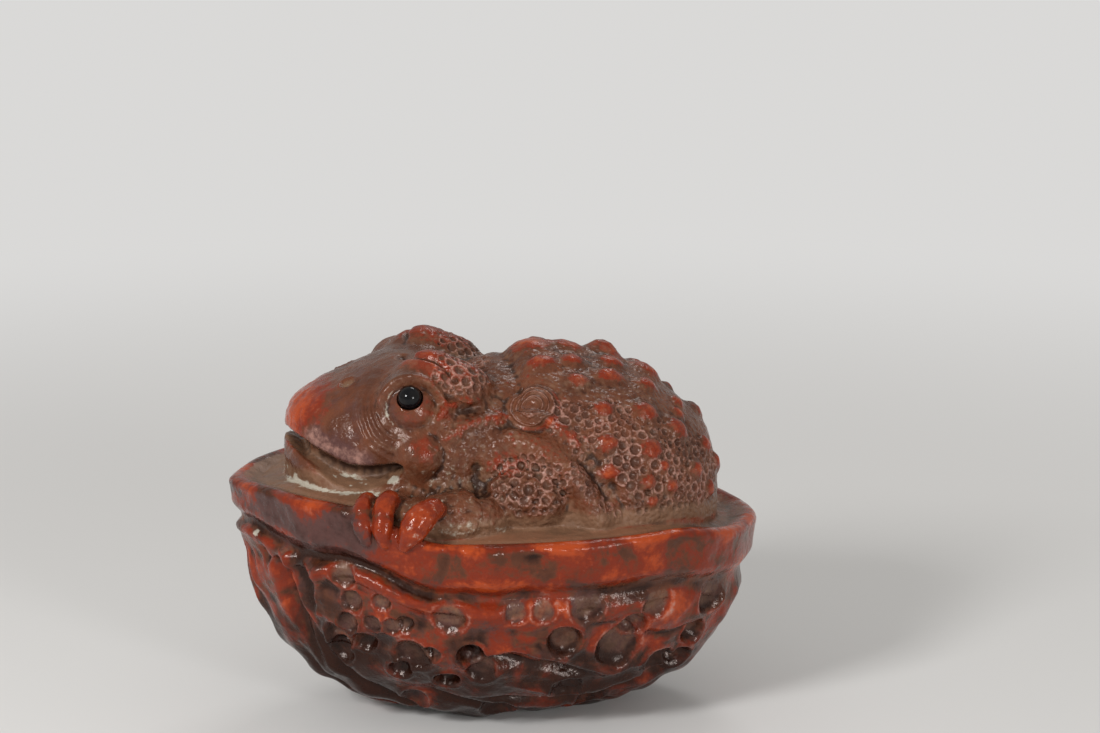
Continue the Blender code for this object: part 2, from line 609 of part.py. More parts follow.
def limb(name, stations):
    """A rounded roll of clay along smooth stations, each a centre and a radius."""
    places = sampled([(*centre, radius) for centre, radius in stations], 8 * len(stations))
    centres = [Vector(p[:3]) for p in places]
    radii = [p[3] for p in places]
    ways = [(after - before).normalized() for before, after in zip(centres, centres[1:])]
    ways.append(ways[-1])
    for end, way in ((0, -ways[0]), (-1, ways[-1])):
        tip, size = centres[end], radii[end]
        cap = [(tip + way * size * math.sin(a), size * math.cos(a)) for a in (0.5, 1.0, 1.35)]
        if end == 0:
            centres = [c for c, _ in reversed(cap)] + centres
            radii = [r for _, r in reversed(cap)] + radii
            ways = [ways[0]] * 3 + ways
        else:
            centres += [c for c, _ in cap]
            radii += [r for _, r in cap]
            ways += [way] * 3
    rings = []
    for centre, radius, way in zip(centres, radii, ways):
        across = way.cross(Vector((0.13, 0.21, 0.97))).normalized()
        over = way.cross(across)
        turns = [2 * math.pi * i / 16 for i in range(16)]
        rings.append([centre + (across * math.cos(a) + over * math.sin(a)) * radius for a in turns])
    return closed_loft(name, rings)


def object_from(name, mesh):
    data = bpy.data.meshes.new(name)
    mesh.to_mesh(data)
    mesh.free()
    obj = bpy.data.objects.new(name, data)
    bpy.context.scene.collection.objects.link(obj)
    return obj


def apply_modifiers(obj):
    """Replaces the object's mesh by what its modifiers make of it."""
    bpy.context.view_layer.update()
    seen = obj.evaluated_get(bpy.context.evaluated_depsgraph_get())
    data = bpy.data.meshes.new_from_object(seen)
    obj.modifiers.clear()
    obj.data = data


def knead(name, pieces, grain, smoothing):
    """Presses overlapping pieces into one closed skin with a given grain, and smooths the joins."""
    mesh = bmesh.new()
    for piece in pieces:
        bpy.context.view_layer.update()
        part = piece.data.copy()
        part.transform(piece.matrix_world)
        mesh.from_mesh(part)
        bpy.data.objects.remove(piece)
    body = object_from(name, mesh)
    remesh = body.modifiers.new("knead", "REMESH")
    remesh.mode = "VOXEL"
    remesh.voxel_size = grain * MM
    smooth = body.modifiers.new("smooth", "SMOOTH")
    smooth.iterations = smoothing
    apply_modifiers(body)
    return body


def mesh_points(obj):
    count = len(obj.data.vertices)
    points = np.empty(count * 3)
    obj.data.vertices.foreach_get("co", points)
    return points.reshape(count, 3) / MM


def mesh_normals(obj):
    normals = np.empty(len(obj.data.vertices) * 3)
    obj.data.vertices.foreach_get("normal", normals)
    return normals.reshape(-1, 3)


def push(obj, lift):
    """Moves each point along its normal by its lift in millimetres."""
    moved = mesh_points(obj) + mesh_normals(obj) * lift[:, None]
    obj.data.vertices.foreach_set("co", (moved * MM).ravel())
    obj.data.update()


def thin_out(obj, triangles):
    """Reduces a mesh to about this many triangles, keeping them where the surface bends."""
    bpy.context.view_layer.update()
    faces = sum(len(p.vertices) - 2 for p in obj.data.polygons)
    decimate = obj.modifiers.new("thin_out", "DECIMATE")
    decimate.ratio = min(triangles / faces, 1)
    apply_modifiers(obj)


def cut(obj, cutter):
    boolean = obj.modifiers.new("cut", "BOOLEAN")
    boolean.operation = "DIFFERENCE"
    boolean.object = cutter
    apply_modifiers(obj)
    bpy.data.objects.remove(cutter)


def block(name, low, high):
    mesh = bmesh.new()
    bmesh.ops.create_cube(mesh, size=1)
    obj = object_from(name, mesh)
    obj.scale = (Vector(high) - Vector(low)) * MM
    obj.location = (Vector(high) + Vector(low)) / 2 * MM
    return obj


def peg(name, centre, radius, low, high):
    mesh = bmesh.new()
    bmesh.ops.create_cone(
        mesh, cap_ends=True, segments=32, radius1=radius * MM, radius2=radius * MM, depth=(high - low) * MM
    )
    obj = object_from(name, mesh)
    obj.location = Vector((centre[0], centre[1], (low + high) / 2)) * MM
    return obj


def finish(obj, name, colour, roughness, coat=0.0):
    """Names the piece, gives it its material and shades it smooth."""
    obj.name = name
    obj.data.name = name
    material = bpy.data.materials.new(name)
    material.use_nodes = True
    shader = material.node_tree.nodes["Principled BSDF"]
    shader.inputs["Base Color"].default_value = (*colour, 1)
    shader.inputs["Roughness"].default_value = roughness
    shader.inputs["Metallic"].default_value = 0
    shader.inputs["Coat Weight"].default_value = coat
    obj.data.materials.clear()
    obj.data.materials.append(material)
    obj.data.shade_smooth()


# The pieces

def clay_body():
    """Toad and walnut, pressed together from clay, carved, hollowed and rubbed flat below."""
    soft = [head_blank(), torso_blank()]
    for side in (-1, 1):
        soft += head_lumps(side) + arm_lumps(side)
    toad = knead("toad", soft, SOFT_GRAIN, SOFT_PASSES)
    for side in (-1, 1):
        cut(toad, mouth_wedge(side))
    soft = [toad, shell_blank()]
    for side in (-1, 1):
        soft += crisp_lumps(side)
    body = knead("clay_body", soft, GRAIN, 3)
    find = surface_finder(body)
    points = mesh_points(body)
    push(body, shell_relief(points, find) + band_relief(points) + toad_relief(points, find))
    thin_out(body, BODY_TRIANGLES)
    reach = SHELL_LENGTH
    cut(body, block("floor", (-reach, -reach, -reach), (reach, reach, 0)))
    cut(body, cavity())
    cut(body, peg("vent", (VENT_BACK, 0), VENT_RADIUS, -WALL, 2 * WALL))
    for side in (-1, 1):
        cut(body, ball("socket", bead_centre(side), (BEAD_RADIUS + BEAD_GAP,) * 3, (0, 0, 0), 3))
    finish(body, "clay_body", (0.17, 0.055, 0.035), 0.5)


def cavity():
    """The hollow that the maker leaves, about one wall inside the plain form."""
    pieces = [shell_blank(WALL), head_blank(HEAD_WALL), torso_blank(WALL)]
    hollow = knead("cavity", pieces, CAVITY_GRAIN, 6)
    thin_out(hollow, CAVITY_TRIANGLES)
    return hollow


def bead_centre(side):
    return eye_centre(side) + gaze(side) * (EYE_RADIUS - BEAD_SINK)


def eye_bead(name, side):
    mesh = bmesh.new()
    bmesh.ops.create_uvsphere(mesh, u_segments=16, v_segments=10, radius=BEAD_RADIUS * MM)
    bead = object_from(name, mesh)
    bead.location = bead_centre(side) * MM
    finish(bead, name, (0.01, 0.01, 0.012), 0.05, 1.0)


def main():
    for old in list(bpy.data.objects):
        bpy.data.objects.remove(old)
    clay_body()
    eye_bead("eye_bead_left", -1)
    eye_bead("eye_bead_right", 1)


main()
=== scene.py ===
# %% [markdown]
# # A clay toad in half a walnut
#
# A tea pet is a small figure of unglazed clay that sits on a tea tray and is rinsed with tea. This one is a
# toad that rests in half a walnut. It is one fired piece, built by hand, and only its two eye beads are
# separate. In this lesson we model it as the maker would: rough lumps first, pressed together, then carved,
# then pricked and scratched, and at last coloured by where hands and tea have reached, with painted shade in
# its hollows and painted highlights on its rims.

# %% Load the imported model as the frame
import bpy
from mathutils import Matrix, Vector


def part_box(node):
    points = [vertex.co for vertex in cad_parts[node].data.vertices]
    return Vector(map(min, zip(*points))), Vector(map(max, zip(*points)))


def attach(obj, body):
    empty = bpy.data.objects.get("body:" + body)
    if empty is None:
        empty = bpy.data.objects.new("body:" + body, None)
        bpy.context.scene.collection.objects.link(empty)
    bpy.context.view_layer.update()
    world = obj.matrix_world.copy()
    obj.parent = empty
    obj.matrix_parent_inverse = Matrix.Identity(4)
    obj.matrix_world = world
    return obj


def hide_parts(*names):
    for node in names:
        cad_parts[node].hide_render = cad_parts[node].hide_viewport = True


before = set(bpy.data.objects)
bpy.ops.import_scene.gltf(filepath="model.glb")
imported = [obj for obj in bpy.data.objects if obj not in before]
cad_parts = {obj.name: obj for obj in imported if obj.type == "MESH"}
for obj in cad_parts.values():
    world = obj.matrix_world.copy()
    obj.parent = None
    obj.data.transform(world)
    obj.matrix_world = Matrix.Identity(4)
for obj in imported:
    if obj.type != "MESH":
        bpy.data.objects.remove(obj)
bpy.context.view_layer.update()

import math
import random

import bmesh
import bpy
import numpy as np
from mathutils import Vector, noise
from mathutils.bvhtree import BVHTree

MM = 0.001
print("frame nodes:", sorted(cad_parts))

# %% [markdown]
# ## Camera
#
# The camera comes first, because every later step is judged through it. It looks at the toad's left side
# from a little above. A long lens keeps the walnut's oval from bulging.

# %% Place the camera
CAMERA_AROUND = math.radians(-5)
CAMERA_UP = math.radians(16)
CAMERA_DISTANCE = 590.0  # millimetres from the point that it aims at
LENS = 100.0
SENSOR = 36.0
IMAGE_WIDTH, IMAGE_HEIGHT = 1100, 733
AIM = Vector((0, 0, 34))
AIM_PIXEL = (494.0, 531.5)  # where the aim point shows in the picture


def place_camera():
    data = bpy.data.cameras.new("camera")
    camera = bpy.data.objects.new("camera", data)
    bpy.context.scene.collection.objects.link(camera)
    data.lens = LENS
    data.sensor_width = SENSOR
    data.clip_start = 0.01
    level = math.cos(CAMERA_UP)
    back = Vector((math.sin(CAMERA_AROUND) * level, -math.cos(CAMERA_AROUND) * level, math.sin(CAMERA_UP)))
    right = Vector((math.cos(CAMERA_AROUND), math.sin(CAMERA_AROUND), 0))
    up = right.cross(-back)
    focal = LENS / SENSOR * IMAGE_WIDTH
    shift_x = (AIM_PIXEL[0] - IMAGE_WIDTH / 2) / focal
    shift_y = (AIM_PIXEL[1] - IMAGE_HEIGHT / 2) / focal
    view = (-back - right * shift_x + up * shift_y).normalized()
    camera.location = (AIM + back * CAMERA_DISTANCE) * MM
    camera.rotation_mode = "QUATERNION"
    camera.rotation_quaternion = view.to_track_quat("-Z", "Y")
    bpy.context.scene.camera = camera
    return camera


camera = place_camera()
print("camera at", [round(v, 3) for v in camera.location])

# %% [markdown]
# ## Helpers for objects and materials
#
# Every piece becomes an object in the same way, and every finish is a small tree of nodes. Nodes can be laid
# by hand in the shader editor, but here each kind of node gets one short call, so that a finish reads like a
# recipe: this colour, blended by that noise, over that one.

# %% Make an object from a mesh
def object_from(name, mesh):
    data = bpy.data.meshes.new(name)
    mesh.to_mesh(data)
    mesh.free()
    obj = bpy.data.objects.new(name, data)
    bpy.context.scene.collection.objects.link(obj)
    return obj

# %% Node helpers
class Shading:
    """A material's node tree, with a short call for each kind of node that the pieces need."""

    def __init__(self, name):
        self.material = bpy.data.materials.new(name)
        self.material.use_nodes = True
        self.nodes = self.material.node_tree.nodes
        self.links = self.material.node_tree.links
        self.shader = self.nodes["Principled BSDF"]
        self.place = self.nodes.new("ShaderNodeTexCoord").outputs["Object"]

    def put(self, socket, value):
        if isinstance(value, bpy.types.NodeSocket):
            self.links.new(value, socket)
        elif isinstance(value, tuple):
            socket.default_value = (*value, 1) if len(value) == 3 and socket.type == "RGBA" else value
        else:
            socket.default_value = value

    def measure(self, name):
        node = self.nodes.new("ShaderNodeAttribute")
        node.attribute_name = name
        return node.outputs["Fac"]

    def math(self, operation, *values):
        node = self.nodes.new("ShaderNodeMath")
        node.operation = operation
        for socket, value in zip(node.inputs, values):
            self.put(socket, value)
        return node.outputs[0]

    def blend(self, *terms):
        """A sum of values, each with its weight."""
        total = None
        for value, weight in terms:
            part = self.math("MULTIPLY", value, weight)
            total = part if total is None else self.math("ADD", total, part)
        return total

    def ramp(self, value, low, high, start=0.0, end=1.0):
        """A smooth run from start to end while the value goes from low to high."""
        node = self.nodes.new("ShaderNodeMapRange")
        node.interpolation_type = "SMOOTHSTEP"
        for name, number in (("From Min", low), ("From Max", high), ("To Min", start), ("To Max", end)):
            self.put(node.inputs[name], number)
        self.put(node.inputs["Value"], value)
        return node.outputs["Result"]

    def noise(self, size, detail=3.0, roughness=0.55, warp=0.0):
        """Noise whose blotches are about this many millimetres across, around 0."""
        node = self.nodes.new("ShaderNodeTexNoise")
        self.put(node.inputs["Vector"], self.place)
        node.inputs["Scale"].default_value = 1000 / size
        node.inputs["Detail"].default_value = detail
        node.inputs["Roughness"].default_value = roughness
        node.inputs["Distortion"].default_value = warp
        return self.math("SUBTRACT", node.outputs["Fac"], 0.5)

    def cells(self, size):
        """Distance from the middle of round cells that are about this many millimetres apart."""
        node = self.nodes.new("ShaderNodeTexVoronoi")
        node.feature = "SMOOTH_F1"
        self.put(node.inputs["Vector"], self.place)
        node.inputs["Scale"].default_value = 1000 / size
        node.inputs["Smoothness"].default_value = 0.3
        return node.outputs["Distance"]

    def rings(self, distance, count):
        """A wave from 0 to 1 that repeats this many times while the distance grows by 1."""
        turns = self.math("MULTIPLY", distance, 2 * math.pi * count)
        return self.blend((self.math("COSINE", turns), 0.5), (1.0, 0.5))

    def mix(self, amount, first, second):
        node = self.nodes.new("ShaderNodeMix")
        node.data_type = "RGBA"
        self.put(node.inputs[0], amount)
        self.put(node.inputs[6], first)
        self.put(node.inputs[7], second)
        return node.outputs[2]

    def bump(self, height, depth, under=None):
        """A bump of this many millimetres, on top of another one."""
        node = self.nodes.new("ShaderNodeBump")
        self.put(node.inputs["Height"], height)
        node.inputs["Distance"].default_value = depth * MM
        if under is not None:
            self.put(node.inputs["Normal"], under)
        return node.outputs["Normal"]

# %% [markdown]
# ## Floor and background
#
# The floor is a plain pale disc that stands for a photographer's table. Far from the toad the lamps don't
# reach it, so there it fades into a plain pale sheen, which only the camera and reflections see and which
# casts no light. We could light the whole floor instead, but then the clay would be washed out.

# %% Lay the floor
FLOOR_RADIUS = 3.0  # metres
FLOOR_COLOUR = (0.70, 0.69, 0.675)
FLOOR_ROUGHNESS = 0.8
FLOOR_FADE = (0.13, 0.5)  # metres from the middle, where the sheen starts and where it is full
SHEEN_COLOUR = (1.0, 0.99, 0.975)
SHEEN_STRENGTH = 0.70


def make_floor():
    mesh = bmesh.new()
    bmesh.ops.create_circle(mesh, cap_ends=True, segments=96, radius=FLOOR_RADIUS)
    floor = object_from("floor", mesh)
    paper = Shading("floor")
    paper.put(paper.shader.inputs["Base Color"], FLOOR_COLOUR)
    paper.put(paper.shader.inputs["Roughness"], FLOOR_ROUGHNESS)
    sheen = paper.nodes.new("ShaderNodeEmission")
    paper.put(sheen.inputs["Color"], SHEEN_COLOUR)
    paper.put(sheen.inputs["Strength"], SHEEN_STRENGTH)
    length = paper.nodes.new("ShaderNodeVectorMath")
    length.operation = "LENGTH"
    paper.put(length.inputs[0], paper.place)
    path = paper.nodes.new("ShaderNodeLightPath")
    seen = path.outputs["Is Camera Ray"]
    for ray in ("Is Glossy Ray", "Is Transmission Ray"):
        seen = paper.math("MAXIMUM", seen, path.outputs[ray])
    share = paper.math("MULTIPLY", seen, paper.ramp(length.outputs["Value"], *FLOOR_FADE))
    mix = paper.nodes.new("ShaderNodeMixShader")
    for socket, value in zip(mix.inputs, (share, paper.shader.outputs[0], sheen.outputs[0])):
        paper.put(socket, value)
    paper.put(paper.nodes["Material Output"].inputs["Surface"], mix.outputs[0])
    floor.data.materials.append(paper.material)


make_floor()
print("floor radius in metres:", FLOOR_RADIUS)

# %% [markdown]
# ## Light
#
# The world is a plain pale colour that fills the shadows. Three soft lamps light the toad: one from the front
# left, a weaker one from the front right, and one from above and behind that draws the outline. They are
# small, because handled clay shows its shine as many small sharp spots.

# %% Set the world
WORLD_LIGHT = 0.45
WORLD_COLOUR = (1.0, 0.985, 0.96)


def make_world():
    world = bpy.data.worlds.new("studio")
    bpy.context.scene.world = world
    world.use_nodes = True
    light = world.node_tree.nodes["Background"]
    light.inputs["Color"].default_value = (*WORLD_COLOUR, 1)
    light.inputs["Strength"].default_value = WORLD_LIGHT


make_world()
print("world light:", WORLD_LIGHT)
bpy.context.scene.view_settings.view_transform = "Standard"

# %% Hang the lamps
LAMPS = (  # name, degrees round from the camera, degrees up, distance, width and height in metres, watts
    ("key", -40, 30, 0.70, (0.15, 0.15), 3.2),
    ("fill", 32, 12, 0.70, (0.12, 0.16), 1.5),
    ("rim", 160, 52, 0.80, (0.25, 0.12), 0.8),
)


def hang_lamp(name, around, up, distance, size, power):
    """A soft lamp aimed at the toad."""
    data = bpy.data.lights.new(name, "AREA")
    data.shape = "RECTANGLE"
    data.size, data.size_y = size
    data.energy = power
    lamp = bpy.data.objects.new(name, data)
    bpy.context.scene.collection.objects.link(lamp)
    around, up = math.radians(around) + CAMERA_AROUND, math.radians(up)
    way = Vector((math.sin(around) * math.cos(up), -math.cos(around) * math.cos(up), math.sin(up)))
    lamp.location = AIM * MM + way * distance
    lamp.rotation_mode = "QUATERNION"
    lamp.rotation_quaternion = (-way).to_track_quat("-Z", "Y")
    print(name, "lamp:", power, "watts")


for lamp in LAMPS:
    hang_lamp(*lamp)

# %% [markdown]
# ## Curves that give the form
#
# A modeller checks a figure against a few templates cut from card: the outline of the walnut, the toad's
# back, the line of the mouth. We write each template as a smooth curve through a few points. Between the
# points a Hermite curve runs without overshooting, so a handful of points is enough.

# %% Smooth curves and steps
def spline(points):
    """A smooth curve y(x) through a few points, as a function that takes a number or an array."""
    xs, ys = (np.array(v, float) for v in zip(*points))
    slope = np.gradient(ys, xs)

    def value(x):
        x = np.clip(np.asarray(x, float), xs[0], xs[-1])
        i = np.clip(np.searchsorted(xs, x, side="right") - 1, 0, len(xs) - 2)
        h = xs[i + 1] - xs[i]
        t = (x - xs[i]) / h
        rise = ys[i] * (1 + 2 * t) * (1 - t) ** 2 + ys[i + 1] * t * t * (3 - 2 * t)
        return rise + slope[i] * h * t * (1 - t) ** 2 + slope[i + 1] * h * t * t * (t - 1)

    return value


def smooth_step(x, low, high):
    """0 below low, 1 above high, and an S between them."""
    t = np.clip((np.asarray(x, float) - low) / (high - low), 0, 1)
    return t * t * (3 - 2 * t)


profile = spline(((0, 0), (1, 2), (2, 1)))
print("a curve through three points, halfway:", round(float(profile(0.5)), 3))

# %% [markdown]
# ## Form of the walnut
#
# The walnut half is an oval drawn to a point at both ends. A thick band of shell runs round its top, higher
# towards the toad's chin. Under the band is a groove, and then the round bowl. We could turn the bowl on a
# lathe, but its outline isn't round, so we carry one section round the oval instead.

# %% Sizes of the walnut, in millimetres
SHELL_LENGTH = 101.0  # over the band
SHELL_WIDTH = 72.0
RIM_HEIGHT = 41.5
PROW_RISE = 6.0  # the rim climbs towards the toad's chin
STERN_DROP = 3.8  # and sinks towards the rear tip
LIP_WIDTH = 2.4
LEDGE_DROP = 1.0
BAND_HEIGHT = 9.5
BAND_BULGE = 1.6
GROOVE_DEPTH = 1.3
BASE_RUB = 1.2  # how much of the round bottom is rubbed flat
LEDGE_RISE = 5.0  # how much the ledge would rise from the lip to the middle
FULLNESS_ALONG = 2.6  # 2 makes the bowl's side view an ellipse, and more makes it squarer
FULLNESS_ACROSS = 2.05
HALF_LENGTH = SHELL_LENGTH / 2 - BAND_BULGE  # of the walnut's outline, which the band stands out from
HALF_WIDTH = SHELL_WIDTH / 2 - BAND_BULGE


def rim_half_width(x):
    """Half the width of the walnut's outline: an oval with a pointed prow and a blunter stern."""
    t = np.clip(np.asarray(x, float) / HALF_LENGTH, -1, 1)
    return HALF_WIDTH * (1 - np.abs(t) ** 2.4) ** (0.75 - 0.2 * smooth_step(t, 0, 0.7))


def rim_top(x):
    """Height of the rim's crest along the shell."""
    t = np.asarray(x, float) / HALF_LENGTH
    prow = smooth_step(-t, 0.24, 0.62) - 0.1 * smooth_step(-t, 0.9, 1)
    return RIM_HEIGHT + PROW_RISE * prow - STERN_DROP * smooth_step(t, 0.62, 1)


tips = [round(float(rim_top(x)), 1) for x in (-HALF_LENGTH, HALF_LENGTH)]
print("rim height at the prow and the stern:", tips)

# %% Section of the band and the bowl
BOWL_STEPS = 40  # rings from the rim down to the base
BAND_PROFILE = spline(  # depth in shares of the band, outward swell of the section
    ((0.0, -0.2), (0.03, 0.5), (0.1, 0.9), (0.3, 0.85), (0.6, 0.7), (0.82, 0.62), (0.95, 0.1),
     (1.05, -0.7), (1.18, -0.9), (1.4, 0.1), (1.9, 0.0))
)


def band_height(x):
    """The band narrows towards the prow."""
    return BAND_HEIGHT * (1 - 0.3 * smooth_step(-np.asarray(x, float) / HALF_LENGTH, 0.8, 1))


def shell_section(x, inset=0.0):
    """One section of the walnut, top to bottom: (share along, share across, outward shift, height)."""
    top = float(rim_top(x))
    tip = float(smooth_step(abs(x) / HALF_LENGTH, 0.75, 1))
    ledge = top - LEDGE_DROP - inset
    rings = [(share, share, 0.0, ledge + LEDGE_RISE * (1 - share)) for share in (0.2, 0.5, 0.65, 0.8, 0.9)]
    rings += [(1, 1, -LIP_WIDTH - 1 - inset, ledge), (1, 1, -LIP_WIDTH - inset, ledge + 0.3)]
    full = top + BASE_RUB
    for step in range(BOWL_STEPS + 1):
        depth = full * (1 - math.cos(step / BOWL_STEPS * math.pi / 2))
        along = max(1 - (depth / full) ** FULLNESS_ALONG, 0) ** (1 / FULLNESS_ALONG)
        across = max(1 - (depth / full) ** FULLNESS_ACROSS, 0) ** (1 / FULLNESS_ACROSS)
        swell = float(BAND_PROFILE(depth / float(band_height(x))))
        shift = swell * (BAND_BULGE if swell > 0 else GROOVE_DEPTH * (1 - 0.6 * tip))
        if inset:
            shift = -inset * along
        rings.append((max(along, 0.04), max(across, 0.04), shift, top - depth + inset * depth / full))
    if inset:
        rings = [(a, b, s, min(z, ledge)) for a, b, s, z in rings]
    return rings


print("rings of one walnut section:", len(shell_section(0)))

# %% [markdown]
# ## Form of the toad
#
# The toad is an egg-shaped trunk with a wedge of a head. Both are stacks of upright sections: at each place
# along the body, one curve gives the height of the back and another the width. This is quicker to correct
# than a subdivision cage, because a wrong height is one number.

# %% Sizes of the toad
NOSE_REACH = 40.0  # from the middle of the shell to the nose
HEAD_LENGTH = 42.0
HEAD_WIDTH = 44.0
HEAD_HEIGHT = 27.4
JAW_LEVEL = 11.0  # where the head is widest
TORSO_CENTRE = 14.0
TORSO_LENGTH = 58.0
TORSO_WIDTH = 51.0
TORSO_HEIGHT = 29.4

HEAD_TOP = spline(  # share of the head's length from the nose, share of its height
    ((0, 0.62), (0.03, 0.72), (0.08, 0.78), (0.16, 0.85), (0.29, 0.93), (0.4, 1.0), (0.52, 1.05),
     (0.64, 1.03), (0.8, 0.93), (1, 0.88))
)
TORSO_TOP = spline(  # share of the half length from the middle, share of the height
    ((-1, 0.55), (-0.72, 0.84), (-0.48, 0.94), (-0.24, 1.0), (0, 0.97), (0.2, 0.92), (0.35, 0.88),
     (0.48, 0.83), (0.62, 0.73), (0.75, 0.62), (0.85, 0.53), (0.94, 0.4), (1, 0.15))
)


def head_top(x):
    return HEAD_HEIGHT * HEAD_TOP((np.asarray(x, float) + NOSE_REACH) / HEAD_LENGTH)


def head_side(x, height, inset=0.0):
    """Half the width of the head at x and this height above the rim."""
    share = np.clip((np.asarray(x, float) + NOSE_REACH) / HEAD_LENGTH, 0, 1)
    widest = (HEAD_WIDTH / 2 - inset) * np.sqrt(1 - (1 - share) ** 3)
    up = np.clip((height - JAW_LEVEL) / (head_top(x) - inset - JAW_LEVEL), 0, 1)
    down = np.clip((JAW_LEVEL - height) / JAW_LEVEL, 0, 1)
    return widest * (1 - up**2.4) ** (1 / 2.4) * (1 - 0.13 * down**2)


def torso_top(x):
    return TORSO_HEIGHT * TORSO_TOP((np.asarray(x, float) - TORSO_CENTRE) / (TORSO_LENGTH / 2))


def torso_side(x, height, inset=0.0):
    """Half the width of the torso at x and this height above the rim."""
    share = np.clip(np.abs(np.asarray(x, float) - TORSO_CENTRE) / (TORSO_LENGTH / 2), 0, 1)
    widest = (TORSO_WIDTH / 2 - inset) * np.sqrt(1 - share**2.2)
    up = np.clip(height / (torso_top(x) - inset), 0, 1)
    return widest * (1 - up**2.2) ** 0.5


print("height of the back over the rim:", round(float(torso_top(TORSO_CENTRE)), 1), "mm")

# %% Points on the toad and on the rim
def on_head(x, up, side, out=0.0):
    """A point on the head's side, lifted out by some millimetres."""
    return Vector((x, side * (float(head_side(x, up)) + out), RIM_HEIGHT + up))


def on_torso(x, up, side, out=0.0):
    return Vector((x, side * (float(torso_side(x, up)) + out), RIM_HEIGHT + up))


def on_rim(x, side, inward, above):
    """A point counted inwards from the rim's edge and up from its crest."""
    return Vector((x, side * (float(rim_half_width(x)) - inward), float(rim_top(x)) + above))


print("the rim beside the toes:", [round(v, 1) for v in on_rim(-20, -1, 0, 0)])

# %% [markdown]
# ## Mesh tools
#
# Each lump is a closed mesh of its own: a loft through rings, a ball, or a limb, which is a roll of clay
# along a path. They may overlap freely, because they are pressed into one skin later.

# %% Lofts, balls and limbs
def closed_loft(name, rings):
    """A closed mesh through rings of points, with a face over each end ring."""
    mesh = bmesh.new()
    made = [[mesh.verts.new(Vector(p) * MM) for p in ring] for ring in rings]
    count = len(rings[0])
    for ring, after in zip(made, made[1:]):
        for i in range(count):
            j = (i + 1) % count
            mesh.faces.new((ring[i], ring[j], after[j], after[i]))
    mesh.faces.new(list(reversed(made[0])))
    mesh.faces.new(made[-1])
    bmesh.ops.recalc_face_normals(mesh, faces=mesh.faces)
    return object_from(name, mesh)


def ball(name, centre, radii, turn, detail=4):
    """An ellipsoid, turned by three angles about X, Y and Z."""
    mesh = bmesh.new()
    bmesh.ops.create_icosphere(mesh, subdivisions=detail, radius=1)
    bmesh.ops.scale(mesh, verts=mesh.verts, vec=Vector(radii) * MM)
    obj = object_from(name, mesh)
    obj.location = Vector(centre) * MM
    obj.rotation_euler = turn
    return obj


def sampled(places, count):
    """A smooth run of places through a few given ones."""
    steps = np.linspace(0, len(places) - 1, count)
    return list(zip(*(spline(list(enumerate(v)))(steps) for v in zip(*places))))


LIMB_SIDES = 16


def limb(name, stations):
    """A rounded roll of clay along smooth stations, each a centre and a radius."""
    places = sampled([(*centre, radius) for centre, radius in stations], 8 * len(stations))
    centres = [Vector(p[:3]) for p in places]
    radii = [p[3] for p in places]
    ways = [(after - before).normalized() for before, after in zip(centres, centres[1:])]
    ways.append(ways[-1])
    for end, way in ((0, -ways[0]), (-1, ways[-1])):
        tip, size = centres[end], radii[end]
        cap = [(tip + way * size * math.sin(a), size * math.cos(a)) for a in (0.5, 1.0, 1.35)]
        if end == 0:
            centres = [c for c, _ in reversed(cap)] + centres
            radii = [r for _, r in reversed(cap)] + radii
            ways = [ways[0]] * 3 + ways
        else:
            centres += [c for c, _ in cap]
            radii += [r for _, r in cap]
            ways += [way] * 3
    rings = []
    for centre, radius, way in zip(centres, radii, ways):
        across = way.cross(Vector((0.13, 0.21, 0.97))).normalized()
        over = way.cross(across)
        turns = [2 * math.pi * i / LIMB_SIDES for i in range(LIMB_SIDES)]
        rings.append([centre + (across * math.cos(a) + over * math.sin(a)) * radius for a in turns])
    return closed_loft(name, rings)


print("three places sampled to five:", [round(float(x), 2) for x, in sampled([(0,), (1,), (4,)], 5)])

# %% Blanks for the walnut, the head and the trunk
def shell_blank(inset=0.0, around=160):
    """The plain walnut half: its oval outline carried round, each section from the ledge to the base."""
    columns = []
    for step in range(around):
        angle = 2 * math.pi * (step + 0.5) / around
        x = math.cos(angle) * HALF_LENGTH
        y = math.copysign(float(rim_half_width(x)), math.sin(angle))
        round_y = math.sin(angle) * HALF_WIDTH
        out = Vector((math.cos(angle) * HALF_WIDTH, math.sin(angle) * HALF_LENGTH)).normalized()
        column = []
        for along, across, shift, z in shell_section(x, inset):
            rounding = float(smooth_step(1 - across, 0.05, 0.5))
            wide = y + (round_y - y) * rounding
            column.append((x * along + out.x * shift, wide * across + out.y * shift, z))
        columns.append(column)
    return closed_loft("shell_blank", list(zip(*columns)))


def section_ring(x, low, high, side, around=48):
    """One upright section: up along one side from the floor to the top, and down along the other."""
    steps = range(around // 2)
    ups = [low + (high - low) * (1 - math.cos(math.pi * (i + 0.5) / len(steps))) / 2 for i in steps]
    right = [(x, float(side(x, up)), RIM_HEIGHT + up) for up in ups]
    left = [(x, -y, z) for x, y, z in reversed(right)]
    return right + left


def body_blank(name, start, length, floor, top, side, inset=0.0):
    """A head or a torso as a loft of upright sections, finer towards both ends."""
    rings = []
    # The sections lie closer towards both ends, and the outer ones stop just short of the tips.
    for step in range(44):
        share = (1 - math.cos(math.pi * (step + 0.15) / 43.3)) / 2
        x = start + 1.8 * inset + (length - 2.8 * inset) * share
        high = max(float(top(x)) - inset, 1.0)
        rings.append(section_ring(x, floor, high, lambda at, up: side(at, up, inset)))
    return closed_loft(name, rings)


def head_blank(inset=0.0):
    return body_blank("head_blank", -NOSE_REACH, HEAD_LENGTH, -4.0, head_top, head_side, inset)


def torso_blank(inset=0.0):
    start = TORSO_CENTRE - TORSO_LENGTH / 2
    return body_blank("torso_blank", start, TORSO_LENGTH, -8.0, torso_top, torso_side, inset)


print("points of one upright section:", len(section_ring(0, -8.0, float(torso_top(0)), torso_side)))

